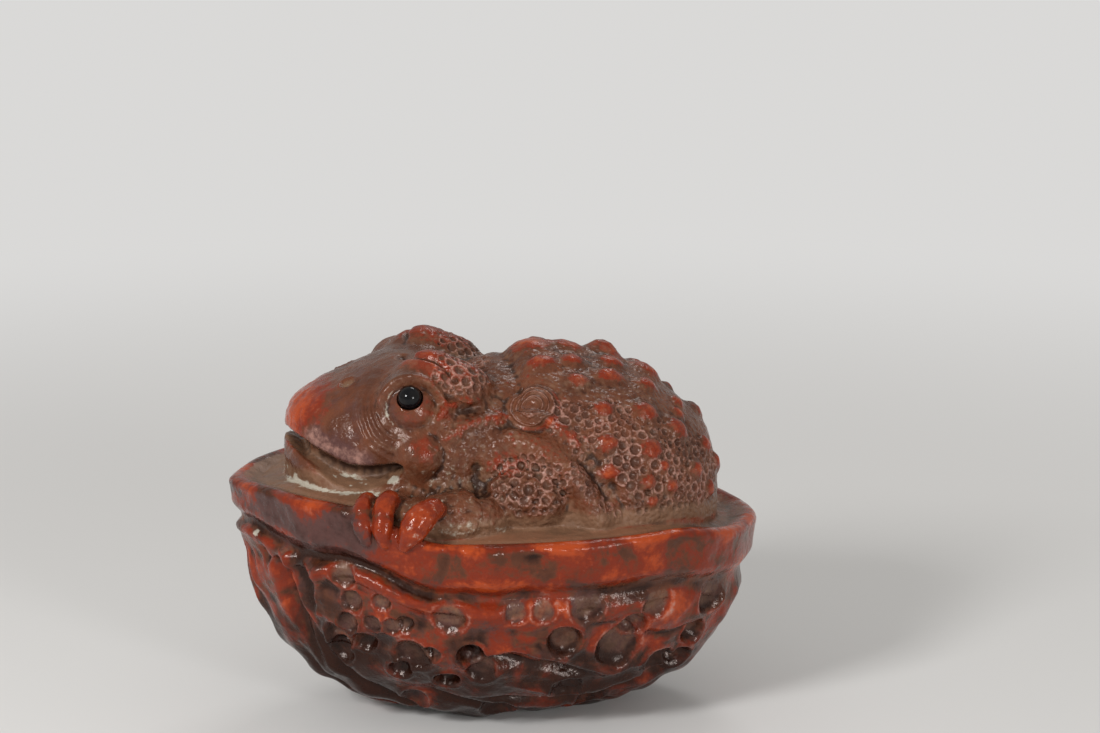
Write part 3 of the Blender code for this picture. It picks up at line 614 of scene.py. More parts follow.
# %% [markdown]
# ## Lumps on the face
#
# The maker adds small pellets of clay for the brow, the mound round the eye, the cheek and the lower lip,
# and smears them in. The eyeball is a pellet too, but it keeps a crisp edge, so it is added later than the
# others, with the toes.

# %% Eye, brow, cheek and lip
EYE_BACK = 23.4  # from the nose to the eye
EYE_LEVEL = 21.4
EYE_RADIUS = 5.0
EYE_SINK = 2.4  # how deep the eyeball's middle lies in the head
GAZE_FORWARD = math.radians(12)
GAZE_UP = math.radians(40)
BEAD_RADIUS = 2.2
BEAD_SINK = 0.9  # how deep the bead's middle lies in the eyeball
BEAD_GAP = 0.3
NOSTRIL = (-28.2, 22.2)  # place along, and above the rim


def eye_centre(side):
    x = EYE_BACK - NOSE_REACH
    return on_head(x, EYE_LEVEL, side, -EYE_SINK)


def gaze(side):
    """The way an eye looks: outwards, a little forwards and up."""
    level = math.cos(GAZE_UP)
    forward, out = math.sin(GAZE_FORWARD) * level, math.cos(GAZE_FORWARD) * level
    return Vector((-forward, side * out, math.sin(GAZE_UP)))


def bead_centre(side):
    return eye_centre(side) + gaze(side) * (EYE_RADIUS - BEAD_SINK)


def cheek_centre(side):
    return on_head(-15.6, 13.2, side, -1.2)


def head_lumps(side):
    """Brow, lid mound, cheek and lower lip, which melt into one side of the head.

    A ball is given by its centre, three radii and its turn, and the lip by places and radii along it.
    """
    eye = eye_centre(side)
    return [
        ball("brow", eye + Vector((6.2, -side * 4.2, 4.0)), (9.6, 5.8, 4.6), (0, 0.2, side * 0.05)),
        ball("brow_peak", eye + Vector((3.8, -side * 5.0, 4.9)), (5.4, 5.0, 5.2), (0, 0.1, 0)),
        ball("lid", eye + Vector((0.4, -side * 1.2, 0.6)), (7.0, 4.6, 6.4), (0, 0, 0)),
        ball("cheek", cheek_centre(side), (4.2, 3.2, 4.0), (0, 0.2, 0)),
        limb("lower_lip", [
            (on_head(-39.4, 10.4, side, -1.4), 1.2), (on_head(-36.5, 9.0, side, -0.8), 1.6),
            (on_head(-32, 6.4, side, -0.4), 1.8), (on_head(-27.5, 4.8, side, -0.3), 1.8),
            (on_head(-23, 4.7, side, -0.5), 1.6), (on_head(-18.5, 6.2, side, -0.9), 1.3),
            (on_head(-16.6, 9.0, side, -0.9), 1.3),
        ]),
    ]


print("eye centre:", [round(v, 1) for v in eye_centre(-1)])

# %% [markdown]
# ## Mouth
#
# The mouth is a long curved gap that runs round the head and is widest under the nostril. The maker cuts it
# with a thin blade and opens it a little. We cut a wedge out of each side, after the soft lumps are pressed
# together, so that its edges stay sharp. A bent line on the surface would be easier, but it has no depth.

# %% Mouth, cut as a wedge
MOUTH_DEPTH = 4.2
MOUTH = (  # place along the head, height of the gap's middle above the rim, half its height
    (-46, 14.4, 1.3), (-41, 14.2, 1.3), (-38.5, 13.6, 1.6), (-35, 11.9, 2.1), (-30.5, 9.7, 2.4),
    (-27.5, 9.0, 2.3), (-23, 9.3, 2.3), (-20.4, 10.2, 1.8), (-18.6, 10.8, 0.9),
)


def mouth_wedge(side):
    """What is cut out for one side of the mouth: a curved wedge that narrows inwards."""
    rings = []
    for x, up, half in sampled(MOUTH, 28):
        edge = float(head_side(max(x, -NOSE_REACH + 0.2), up))
        inner = max(edge - MOUTH_DEPTH, -1.0) if x > -36 else -1.0
        outer = edge + 4
        spans = ((outer, 1.5), (edge, 1.0), (inner, 0.45), (inner, -0.45), (edge, -1.0), (outer, -1.5))
        rings.append([(x, side * y, RIM_HEIGHT + up + share * half) for y, share in spans])
    return closed_loft("mouth_wedge", rings)


print("widest opening of the mouth:", 2 * max(half for _, _, half in MOUTH), "mm")

# %% [markdown]
# ## Toes and folded arms
#
# Three toes of each hand grip the rim, and the arm lies folded on the ledge behind them. The toes are thin
# rolls that end in a round tip, and the arm is a few flat pellets. One long roll over the elbow makes the
# arch of skin that the arm pushes up. A sculpted arm of one piece would need more care and look stiffer.

# %% Toes that grip the rim
TOES = (  # stations from knuckle to tip: (place along, in from the rim's edge, above its crest, radius)
    (
        (-24.6, 5.2, 1.0, 1.2), (-25.6, 3.4, 1.5, 1.5), (-26.6, 0.6, 0.4, 1.6), (-26.5, -1.4, -2.4, 1.5),
        (-26, -1.5, -5, 0.8),
    ),
    (
        (-20.6, 5.6, 3.0, 1.5), (-21.6, 3.8, 3.6, 1.9), (-22.7, 1.0, 2.0, 2.0), (-23, -1.2, -1.0, 1.8),
        (-22.8, -1.5, -3.8, 0.9),
    ),
    (
        (-12.6, 4.2, 5.4, 1.6), (-14.2, 2.0, 5.6, 2.3), (-16.4, -0.2, 3.6, 2.8), (-18.2, -1.6, 0.4, 2.4),
        (-19.4, -1.9, -2.4, 1.0),
    ),
)
ELBOW_LEVEL = 5.0  # above the rim


def crisp_lumps(side):
    """Eyeball, elbow and toes, whose edges stay crisp."""
    lumps = [
        ball("eyeball", eye_centre(side), (EYE_RADIUS,) * 3, (0, 0, 0)),
        ball("elbow", on_torso(3.8, ELBOW_LEVEL, side, -0.7), (8.0, 4.3, 5.7), (0, 0.1, side * 0.1)),
    ]
    for stations in TOES:
        path = [(on_rim(x, side, inward, above), size) for x, inward, above, size in stations]
        lumps.append(limb("toe", path))
    return lumps


print("toes on each side:", len(TOES))

# %% Folded arm on the ledge
def arm_lumps(side):
    """Folded arm on the ledge, with the fold of skin that arches over its elbow."""
    fold = [(-9.6, 10.6), (-6.6, 13.4), (-2.9, 15.0), (2.9, 15.3), (7.4, 13.6), (11.2, 10.6)]
    fold += [(14.6, 6.4), (17.2, 0.5)]
    return [
        ball("forearm", on_rim(-8.5, side, 8.6, 2.4), (9.5, 5.0, 5.4), (0, 0.05, side * -0.12)),
        ball("wrist", on_rim(-15.5, side, 6.2, 2.4), (5.5, 4.4, 4.0), (0, 0.1, side * -0.3)),
        ball("knuckles", on_rim(-21.5, side, 6.6, 1.2), (6.0, 3.4, 2.8), (0, -0.1, side * -0.4)),
        limb("shoulder_fold", [(on_torso(x, up, side, 0.0), 2.5) for x, up in fold]),
    ]


print("the elbow rests", ELBOW_LEVEL, "mm above the rim")

# %% [markdown]
# ## Pressing the lumps together
#
# Wet clay joins where it is pressed. A voxel remesh does the same: it wraps all the overlapping lumps in one
# skin, and a few rounds of smoothing melt the joins. The soft parts of the toad are kneaded first with a
# coarse grain, and then everything once more with a fine one, which keeps the toes crisp.

# %% Kneading
def apply_modifiers(obj):
    """Replaces the object's mesh by what its modifiers make of it."""
    bpy.context.view_layer.update()
    seen = obj.evaluated_get(bpy.context.evaluated_depsgraph_get())
    data = bpy.data.meshes.new_from_object(seen)
    obj.modifiers.clear()
    obj.data = data


def knead(name, pieces, grain, smoothing):
    """Presses overlapping pieces into one closed skin with a given grain, and smooths the joins."""
    mesh = bmesh.new()
    for piece in pieces:
        bpy.context.view_layer.update()
        part = piece.data.copy()
        part.transform(piece.matrix_world)
        mesh.from_mesh(part)
        bpy.data.objects.remove(piece)
    body = object_from(name, mesh)
    remesh = body.modifiers.new("knead", "REMESH")
    remesh.mode = "VOXEL"
    remesh.voxel_size = grain * MM
    smooth = body.modifiers.new("smooth", "SMOOTH")
    smooth.iterations = smoothing
    apply_modifiers(body)
    return body


pellets = [ball("pellet", Vector((x, 0, 0)), (3, 3, 3), (0, 0, 0)) for x in (0, 4)]
lump = knead("lump", pellets, 0.5, 3)
print("two pellets, pressed together, make one lump of", len(lump.data.polygons), "faces")
bpy.data.objects.remove(lump)

# %% Points, lifts and thinning
def mesh_points(obj):
    count = len(obj.data.vertices)
    points = np.empty(count * 3)
    obj.data.vertices.foreach_get("co", points)
    return points.reshape(count, 3) / MM


def mesh_normals(obj):
    normals = np.empty(len(obj.data.vertices) * 3)
    obj.data.vertices.foreach_get("normal", normals)
    return normals.reshape(-1, 3)


def push(obj, lift):
    """Moves each point along its normal by its lift in millimetres."""
    moved = mesh_points(obj) + mesh_normals(obj) * lift[:, None]
    obj.data.vertices.foreach_set("co", (moved * MM).ravel())
    obj.data.update()


def thin_out(obj, triangles):
    """Reduces a mesh to about this many triangles, keeping them where the surface bends."""
    bpy.context.view_layer.update()
    faces = sum(len(p.vertices) - 2 for p in obj.data.polygons)
    decimate = obj.modifiers.new("thin_out", "DECIMATE")
    decimate.ratio = min(triangles / faces, 1)
    apply_modifiers(obj)


pellet = ball("pellet", Vector((0, 0, 0)), (3, 3, 3), (0, 0, 0))
before = len(mesh_points(pellet))
thin_out(pellet, 100)
print("a pellet thinned from", before, "points to", len(mesh_points(pellet)))
bpy.data.objects.remove(pellet)

# %% Cutting tools
def cut(obj, cutter):
    boolean = obj.modifiers.new("cut", "BOOLEAN")
    boolean.operation = "DIFFERENCE"
    boolean.object = cutter
    apply_modifiers(obj)
    bpy.data.objects.remove(cutter)


def block(name, low, high):
    mesh = bmesh.new()
    bmesh.ops.create_cube(mesh, size=1)
    obj = object_from(name, mesh)
    obj.scale = (Vector(high) - Vector(low)) * MM
    obj.location = (Vector(high) + Vector(low)) / 2 * MM
    return obj


def peg(name, centre, radius, low, high):
    mesh = bmesh.new()
    bmesh.ops.create_cone(
        mesh, cap_ends=True, segments=32, radius1=radius * MM, radius2=radius * MM, depth=(high - low) * MM
    )
    obj = object_from(name, mesh)
    obj.location = Vector((centre[0], centre[1], (low + high) / 2)) * MM
    return obj


brick = block("brick", (0, 0, 0), (40, 20, 10))
cut(brick, peg("bore", (20, 10), 3, -1, 11))
print("a brick with a bore has", len(brick.data.polygons), "faces")
bpy.data.objects.remove(brick)

# %% [markdown]
# ## Relief
#
# Warts, pits, folds and wrinkles are pushed in or pulled out along the surface. A spot is one dab of a round
# tool, a stroke is one pull of a loop tool. A ray finds the place on the surface, so each dab lands on the
# clay however the form under it changes.

# %% Dabs and strokes
def surface_finder(obj):
    """A function that casts a ray inwards from far along a direction and gives the point it meets."""
    faces = [face.vertices for face in obj.data.polygons]
    tree = BVHTree.FromPolygons([v.co / MM for v in obj.data.vertices], faces)

    def find(base, direction):
        way = Vector(direction).normalized()
        hit = tree.ray_cast(Vector(base) + way * 3 * SHELL_LENGTH, -way)[0]
        return np.array(hit if hit else base)

    return find


def spot(points, centre, radius, height, ring=0.0, long=1.0):
    """A soft bump, or a crisp pit if height is below zero, with a faint opposite ring round it.

    Where long is over 1, it is that much longer along the body than it is wide."""
    lift = np.zeros(len(points))
    close = np.flatnonzero(np.abs(points[:, 0] - centre[0]) < 2 * radius * long)
    t = np.linalg.norm((points[close] - centre) / (radius * long, radius, radius), axis=1)
    close, t = close[t < 2], t[t < 2]
    dome = np.clip(1 - t * t, 0, 1) ** 0.6 if height < 0 else np.exp(-((t / 0.74) ** 3))
    collar = np.exp(-((t - 1.17) / 0.17) ** 2)
    lift[close] = height * (dome - ring * collar)
    return lift


def stroke(points, path, half_width, height, slim=1.0, steep=2):
    """A ridge (or groove, if height is below zero) along a path of points, fading at both ends.

    Where slim is under 1, the stroke is that much narrower at its ends than at its middle. A greater
    steep gives it a flatter bed and steeper walls."""
    path = np.array(path)
    low, high = path.min(axis=0) - 3 * half_width, path.max(axis=0) + 3 * half_width
    close = np.flatnonzero(np.all((points > low) & (points < high), axis=1))
    here = points[close]
    nearest = np.full(len(here), np.inf)
    place = np.zeros(len(here))
    total = len(path) - 1
    for i, (a, b) in enumerate(zip(path, path[1:])):
        step = b - a
        t = np.clip(((here - a) @ step) / max(step @ step, 1e-9), 0, 1)
        gap = np.linalg.norm(here - a - t[:, None] * step, axis=1)
        better = gap < nearest
        nearest[better] = gap[better]
        place[better] = (i + t[better]) / total
    fade = np.clip(np.minimum(place, 1 - place) * 5, 0.15, 1)
    width = half_width * (slim + (1 - slim) * np.sin(np.pi * place))
    lift = np.zeros(len(points))
    lift[close] = height * fade * np.exp(-((nearest / width) ** steep))
    return lift


dab = spot(np.zeros((1, 3)), (0, 0, 0), 1.0, 0.5)
print("a dab of 0.5 mm lifts its middle by", round(float(dab[0]), 2), "mm")

# %% [markdown]
# ## Relief of the walnut
#
# A walnut has a few deep wrinkles that run from tip to tip, and between them lie round pits, crowded near
# the middle. The pits that show from the front are listed one by one. The far side has the same ones, moved
# about a little, because a real shell isn't a mirror image.

# %% Pits and wrinkles of the walnut
PIT_DEPTH = 0.8  # of a pit of 1 mm radius
FURROW_HEIGHT = 0.9
SEED = 7

SHELL_PITS = (  # place along the shell, degrees down from the rim, radius, depth against a common pit
    (-30, 25, 2.2, 1), (-28, 33, 1.9, 1), (-23, 26, 1.6, 0.8), (-21, 32, 1.6, 1), (-19, 29, 1.5, 1.3),
    (-24, 35, 1.6, 1), (-28, 41, 1.8, 1), (-25, 45, 2.0, 1.2), (-17, 38, 3.1, 0.9), (-14, 34, 1.6, 1.5),
    (-11, 21, 2.9, 0.7), (-19, 47, 1.9, 1.6), (-11, 45, 2.1, 2.0), (-28, 56, 2.4, 1.6), (-29, 50, 2.6, 1.2),
    (-7, 33, 2.2, 2.2), (-5, 39, 2.4, 1), (1, 19, 2.0, 0.8), (6, 19, 2.0, 0.8), (14, 19, 2.9, 0.7),
    (10, 29, 2.8, 1.3), (27, 24, 2.8, 0.8), (20, 36, 3.9, 1.1), (23, 30, 2.4, 1.3), (27, 50, 2.9, 1.2),
    (38, 33, 3.1, 1.1), (31, 56, 2.4, 1.7), (34, 46, 2.3, 1.6), (11, 50, 2.6, 1.4), (35, 17, 1.8, 0.9),
    (39, 18, 1.7, 0.9), (43, 20, 1.6, 0.9), (-43, 22, 1.6, 1.8), (-42, 32, 1.3, 1.4), (-1, 62, 2.8, 1.2),
    (-16, 62, 2.2, 1.3), (16, 64, 2.6, 1.4),
)
SHELL_STROKES = (  # wrinkles: (place along, degrees down) from start to end, half width, depth
    (((-9, 33), (0, 36), (8, 40), (16, 45)), 1.6, 2.0),
    (((-41, 24), (-38.5, 33), (-36, 42), (-33, 50)), 3.0, 2.3),
    (((-47, 14), (-46, 36), (-43, 56)), 1.6, 2.0),
    (((-49, 20), (-48.5, 50), (-47, 75)), 1.3, 1.4),
    (((-44, 20), (-42, 42), (-37, 58), (-28, 70)), 1.5, 1.8),
    (((-42, 46), (-34, 58), (-22, 66), (-8, 70)), 1.6, 1.8),
    (((-34, 72), (-20, 79), (0, 82), (18, 78)), 1.5, 1.5),
    (((-6, 52), (8, 57), (22, 60), (34, 58)), 1.5, 1.8),
    (((13, 24), (20, 28), (28, 38), (38, 42)), 1.0, 0.7),
    (((-16, 54), (-4, 58), (8, 66), (22, 72)), 1.4, 1.6),
    (((30, 14), (38, 26), (45, 30)), 1.2, 0.9),
    (((-33, 20), (-35, 36), (-32, 52)), 1.3, -1.1),
    (((-44, 16), (-42, 28), (-39, 44)), 1.1, -1.0),
    (((-36, 17), (-24, 20), (-8, 16), (8, 14)), 1.3, -0.8),
    (((-2, 30), (8, 34), (18, 44), (30, 46)), 1.5, -0.9),
    (((0, 46), (14, 52), (28, 54)), 1.6, -0.9),
)
print("pits and wrinkles placed by hand:", len(SHELL_PITS), "and", len(SHELL_STROKES))

# %% Press the pits and wrinkles into the bowl
def bowl_point(find, x, down, side):
    """The point of the bowl at x, this many degrees down from the rim, on a line from tip to tip."""
    lean = math.asin(max(-0.99, min(0.99, x / HALF_LENGTH)))
    angle = math.radians(down)
    way = (
        math.sin(lean) * HALF_LENGTH,
        side * math.cos(lean) * math.cos(angle) * HALF_WIDTH,
        -math.cos(lean) * math.sin(angle) * RIM_HEIGHT,
    )
    return find((0, 0, float(rim_top(x))), way)


def shell_marks(find):
    """Pits and wrinkles on both sides. The far side has the same ones, moved about a little."""
    rng = random.Random(SEED)
    pits, wrinkles = [], []
    for side in (-1, 1):
        for x, down, radius, depth in SHELL_PITS:
            if side > 0:
                x, down = x + rng.uniform(-2.5, 2.5), down + rng.uniform(-5, 5)
            pits.append((bowl_point(find, x, down, side), radius, depth))
        for places, half_width, depth in SHELL_STROKES:
            shift = rng.uniform(-3, 3) if side > 0 else 0
            path = [bowl_point(find, x + shift, down + shift, side) for x, down in sampled(places, 12)]
            wrinkles.append((path, half_width, depth))
    return pits, wrinkles


def shell_relief(points, find):
    """Pits, wrinkles and uneven ridges of the walnut, on the bowl under its band."""
    lift = np.zeros(len(points))
    pits, wrinkles = shell_marks(find)
    for centre, radius, depth in pits:
        lift += spot(points, centre, 1.2 * radius, -PIT_DEPTH * depth * radius**0.8, 0.12)
    for path, half_width, depth in wrinkles:
        lift += stroke(points, path, half_width, -depth, 0.4)
    crest = rim_top(points[:, 0])
    depth = crest - points[:, 2]
    around = np.arctan2(points[:, 1], RIM_HEIGHT - points[:, 2])
    lean = points[:, 0] / HALF_LENGTH
    runs = zip(3.2 * lean, 5.0 * around + 2.2 * lean)
    ridges = np.array([noise.noise(Vector((x, across, 7.5))) for x, across in runs])
    fine = np.array([noise.noise(Vector(p * 0.17)) for p in points])
    lift += FURROW_HEIGHT * (0.5 - 2.0 * np.sqrt(ridges**2 + 0.02)) + 0.9 * fine
    return lift * smooth_step(depth, BAND_HEIGHT * 1.15, BAND_HEIGHT * 1.6)


print("a common pit is", PIT_DEPTH, "mm deep for a radius of 1 mm")

# %% [markdown]
# ## Waves of the band
#
# The band isn't smooth: the maker's fingers have left long flat waves in it, and in front a low ridge runs
# under it. Slow noise gives the waves, and a soft bump that follows the band gives the ridge. Single dents
# placed by hand would look counted.

# %% Waves of the band
def band_relief(points):
    """The band's face is wavy from the maker's thumb, and a thin ridge under it runs to the prow."""
    share = (rim_top(points[:, 0]) - points[:, 2]) / band_height(points[:, 0])
    waves = np.array([noise.noise(Vector((p[0] * 0.11, p[1] * 0.11, 3.1))) for p in points])
    face = smooth_step(share, 0, 0.25) * (1 - smooth_step(share, 1.0, 1.5))
    front = 1 - smooth_step(points[:, 0], -12, 16)
    return 1.1 * waves * face + 0.7 * front * np.exp(-((share - 1.42 - 0.25 * waves) / 0.13) ** 2)


print("lift of the band at the prow:", [round(float(v), 2) for v in band_relief(np.array([[-48, 0, 42.0]]))])

# %% [markdown]
# ## Relief of the toad
#
# The warts on the back are low pellets in loose rows. The big ones are listed and the small ones are
# scattered between them, where there is room.

# %% Warts, pebbles and ridges
WART_HEIGHT = 1.15
WART_TRIES = 200
EAR_RADIUS = 4.5
EAR_PLACE = 5.6  # behind the middle of the shell
EAR_RAISE = 51.0  # degrees up from the side

BACK_WARTS = (  # place along the body, degrees up from the side, radius
    (7, 88, 4.2), (14, 90, 3.0), (21, 94, 3.9), (29, 90, 3.1), (8.4, 73, 2.4), (14.2, 76, 2.2),
    (21.7, 81, 2.7), (21, 69, 2.5), (14.6, 63, 2.1), (28.2, 71, 2.1), (18.8, 50, 1.9), (27, 52, 2.4),
    (33.2, 49, 2.7), (34.4, 74, 1.6), (19.2, 35, 1.9), (27.3, 34, 2.3), (30, 27, 1.1), (39.3, 52, 1.9),
    (19.2, 23, 1.8), (26.5, 19, 1.5), (31.5, 17, 1.4), (36.7, 28, 1.9), (27.4, 10, 1.3), (34, 62, 1.5),
)
ELBOW_PEBBLES = (  # place along the body, height above the rim, radius
    (1.2, 8.6, 1.7), (7.8, 7.4, 1.8), (5.0, 6.6, 1.1), (5.0, 4.2, 1.2), (8.2, 3.8, 1.2), (6.4, 2.4, 1.2),
    (2.4, 5.4, 1.4), (-0.4, 5.6, 1.3), (10.8, 5.4, 1.2), (3.4, 2.6, 1.3),
)
SHOULDER_RIDGES = (  # pebbled rolls of skin above the arm, and the edge of the folded forearm
    (((-12.4, 16.6), (-10.6, 19.4), (-7.0, 21.0), (-2.6, 20.2)), 1.5),
    (((-11.6, 13.2), (-6.8, 16.6), (0.4, 17.9), (6.6, 17.6), (11.6, 14.8), (15.4, 10.6)), 1.2),
    (((-4.9, 10.5), (-5.4, 7.0), (-4.2, 3.0)), -1.0),
    (((12.6, 12.0), (15.6, 8.6), (18.2, 4.4), (19.8, 0.8)), -1.1),
)
NECK_CREASES = (  # creases: (place along, degrees up from the side) from start to end, half width, depth
    (((1.5, 92), (2.2, 78), (3.4, 66), (3.6, 56), (1.0, 46), (-3, 38)), 1.5, 1.2),
    (((14, 34), (17, 28), (19.5, 20), (21.5, 10), (23, 2)), 1.2, 1.1),
)
print("warts placed by hand:", len(BACK_WARTS), "on each side")

# %% Find room for the warts
def back_point(find, x, up, side):
    angle = math.radians(up)
    return find((x, 0, RIM_HEIGHT), (0, side * math.cos(angle), math.sin(angle)))


def wart_places(find):
    """Centres and radii of the back's warts: the listed ones on both sides, and smaller ones between."""
    rng = random.Random(SEED + 1)
    placed = []
    for side in (-1, 1):
        for x, up, radius in BACK_WARTS:
            if side > 0:
                x, up = x + rng.uniform(-2, 2), up + rng.uniform(-5, 5)
            if side < 0 or up < 85:
                placed.append((back_point(find, x, up, side), radius))
    for _ in range(WART_TRIES):
        around, up = math.radians(rng.uniform(-115, 115)), math.radians(rng.uniform(4, 80))
        radius = rng.uniform(1.3, 2.4)
        way = (math.cos(around) * math.cos(up), math.sin(around) * math.cos(up), math.sin(up))
        centre = find((TORSO_CENTRE, 0, RIM_HEIGHT), way)
        clear = all(np.linalg.norm(centre - other) > radius + size + 1.4 for other, size in placed)
        unseen = centre[1] > 2 or centre[0] > TORSO_CENTRE + 0.42 * TORSO_LENGTH
        start = TORSO_CENTRE - 2 + max(0, 16 - (centre[2] - RIM_HEIGHT)) * 0.7
        if clear and unseen and centre[0] > start and centre[2] > RIM_HEIGHT + 2.5:
            placed.append((centre, radius))
    return placed


print("darts thrown for small warts:", WART_TRIES)

# %% Raise the warts, rings, creases and folds
def toad_relief(points, find):
    """Mouth, eye folds, ear, warts and creases of the toad."""
    lift = np.zeros(len(points))
    for centre, radius in wart_places(find):
        lift += spot(points, centre, radius * 1.15, WART_HEIGHT * min(1.2, radius / 2.2), 0.04, 1.25)
    for side in (-1, 1):
        # The edge of the lid, the gap round the eyeball and three folds below it.
        eye = eye_centre(side)
        beside = points[:, 1] * side > 0
        apart = np.linalg.norm(points - np.array(eye), axis=1) / EYE_RADIUS
        cheek = np.linalg.norm(points - np.array(cheek_centre(side)), axis=1) / EYE_RADIUS
        out = (points - np.array(eye)) @ np.array(gaze(side)) / EYE_RADIUS
        over = smooth_step(points[:, 2] - eye.z, -1.5, 1.5)
        low = smooth_step(eye.z + 3 - points[:, 2], 0, 4) * smooth_step(eye.x + 4 - points[:, 0], 0, 5)
        low *= smooth_step(cheek, 0.9, 1.3)
        lift += beside * (out > 0) * (0.05 + 0.8 * over) * np.exp(-((apart - 1.2) / 0.1) ** 2)
        lift -= beside * (out > 0) * (0.1 + 0.5 * over) * np.exp(-((apart - 1.04) / 0.07) ** 2)
        for ring, height in ((1.55, 0.3), (1.82, 0.35), (2.09, 0.3)):
            lift += height * beside * low * np.exp(-((apart - ring) / 0.12) ** 2)
        # The fold over the brow and the hollow behind the cheek.
        brow = [(-3.2, 5.4), (-0.8, 6.8), (2.4, 7.2), (5.6, 5.6), (7.4, 2.8), (8.0, -0.4)]
        path = [find((eye.x + x, 0, eye.z + up), (0, side, 0.15)) for x, up in sampled(brow, 12)]
        lift += stroke(points, path, 0.75, -0.9)
        behind = smooth_step(points[:, 0], cheek_centre(side).x, cheek_centre(side).x + 3)
        lift -= 0.55 * beside * behind * np.exp(-((cheek - 0.95) / 0.13) ** 2)
        # The disc of the ear with its rings.
        reach = np.linalg.norm(points - back_point(find, EAR_PLACE, EAR_RAISE, side), axis=1) / EAR_RADIUS
        lift += 0.5 * (1 - smooth_step(reach, 0.85, 1.05)) - 0.3 * np.exp(-((reach - 1.2) / 0.15) ** 2)
        for ring in (1.0, 0.72, 0.46, 0.2):
            lift += 0.28 * np.exp(-((reach - ring) / 0.08) ** 2)
        # Creases of the neck, pebbles of the elbow, rolls of the shoulder and the nostril.
        for places, half_width, depth in NECK_CREASES:
            path = [back_point(find, x, up, side) for x, up in places]
            lift += stroke(points, path, half_width, -depth)
        for x, up, radius in ELBOW_PEBBLES:
            lift += spot(points, find(on_torso(x, up, 0), (0, side, 0.1)), radius, 0.6, 0.3)
        for places, height in SHOULDER_RIDGES:
            path = [find(on_torso(x, up, 0), (0, side, 0.1)) for x, up in sampled(places, 12)]
            lift += stroke(points, path, 1.3, height)
        nostril = find(on_head(*NOSTRIL, 0), (0, side, 0.3))
        lift += spot(points, nostril, 1.5, -0.5, 0.5)
    return lift


print("a wart of 2.2 mm radius stands", WART_HEIGHT, "mm high")

# %% [markdown]
# ## Skin
#
# On the flank, the elbow and behind the eye the skin is covered with little round cups, as if pressed with
# the end of a straw, and sharp rims are left between them. We throw darts at each patch, and keep a dart
# where its cup has room, the largest cups first. Cell noise would be quicker, but its cells have corners.

# %% Cups of the skin
CUP_DEPTH = 0.4
CUP_SIZES = (1.25, 1.05, 0.9, 0.75, 0.62)  # radii, the largest are placed first
CUP_TRIES = 260  # darts thrown for each patch and size
CUP_PATCHES = (  # cupped patches of skin: place along, height above the rim, reach along, reach up
    (24.0, 8.0, 12.0, 9.0), (19.0, 13.0, 7.0, 7.0), (34.0, 6.0, 8.0, 7.0), (4.5, 5.4, 7.0, 5.4),
    (-7.0, 26.0, 5.5, 4.0), (12.0, 17.0, 5.0, 3.0),
)


def cup_places(find):
    """Centres and radii of the cups: darts thrown at each patch, kept where there is room for one."""
    rng = random.Random(SEED + 2)
    warts = wart_places(find)
    centres = np.array([centre for centre, _ in warts])
    radii = np.array([0.85 * radius for _, radius in warts])
    for side in (-1, 1):
        for x, up, along, high in CUP_PATCHES:
            for size in CUP_SIZES:
                for _ in range(CUP_TRIES):
                    angle, reach = rng.uniform(0, 2 * math.pi), math.sqrt(rng.uniform(0, 1))
                    right, over = along * reach * math.cos(angle), high * reach * math.sin(angle)
                    dart = find((x + right, 0, RIM_HEIGHT + up + over), (0, side, 0.12))
                    radius = size * (1.05 - 0.45 * reach)
                    clear = np.all(np.linalg.norm(centres - dart, axis=1) > 0.95 * (radii + radius))
                    if clear and dart[2] > RIM_HEIGHT + 1.5:
                        centres, radii = np.vstack((centres, dart)), np.append(radii, radius)
    return list(zip(centres[len(warts):], radii[len(warts):]))


def cups(points, places):
    """How deep each point lies in a cup, and how much it is on the rim of one, both from 0 to 1."""
    inside, rim = np.zeros(len(points)), np.zeros(len(points))
    order = np.argsort(points[:, 0])
    along = points[order, 0]
    for centre, radius in places:
        low, high = np.searchsorted(along, (centre[0] - 1.6 * radius, centre[0] + 1.6 * radius))
        close = order[low:high]
        t = np.linalg.norm(points[close] - centre, axis=1) / radius
        depth = min(1, 0.35 + 0.6 * radius)
        inside[close] = np.maximum(inside[close], depth * (1 - smooth_step(t, 0.5, 0.95)))
        rim[close] = np.maximum(rim[close], depth * np.exp(-((t - 1.05) / 0.2) ** 2))
    return inside, rim * (1 - inside)


print("patches of cups on each side:", len(CUP_PATCHES))

# %% Lumps and pebbles of the skin
def near_toes(points):
    """1 on the toes, fading to 0 beside them."""
    on = np.zeros(len(points))
    for side in (-1, 1):
        for stations in TOES:
            for x, inward, above, size in stations[1:]:
                apart = np.linalg.norm(points - np.array(on_rim(x, side, inward, above)), axis=1)
                on = np.maximum(on, 1 - smooth_step(apart / size, 1.0, 1.6))
    return on


def skin_relief(points):
    """The toad's uneven skin: soft lumps, and a fine pebbling that grows on the arm."""
    toad = smooth_step(points[:, 2] - rim_top(points[:, 0]), 0.3, 1.5)
    arm = smooth_step(-points[:, 0], 1, 7) * (1 - smooth_step(points[:, 2] - RIM_HEIGHT, 5, 9))
    arm *= 1 - near_toes(points)
    lumps = np.array([noise.noise(Vector(p * 0.42)) for p in points])
    pebbles = np.array([noise.noise(Vector(p * 1.0)) for p in points])
    return toad * (0.10 * lumps + 0.12 * pebbles + arm * (0.5 * lumps + 0.2 * pebbles))


high_point = np.array([[10.0, 0.0, 70.0]])
print("lift of the skin on the back:", round(float(skin_relief(high_point)[0]), 3), "mm")

# %% [markdown]
# ## Hollow
#
# Thick clay cracks in the kiln, so the maker scoops the piece out from below, about one wall inside the
# form, and leaves a hole for the air.

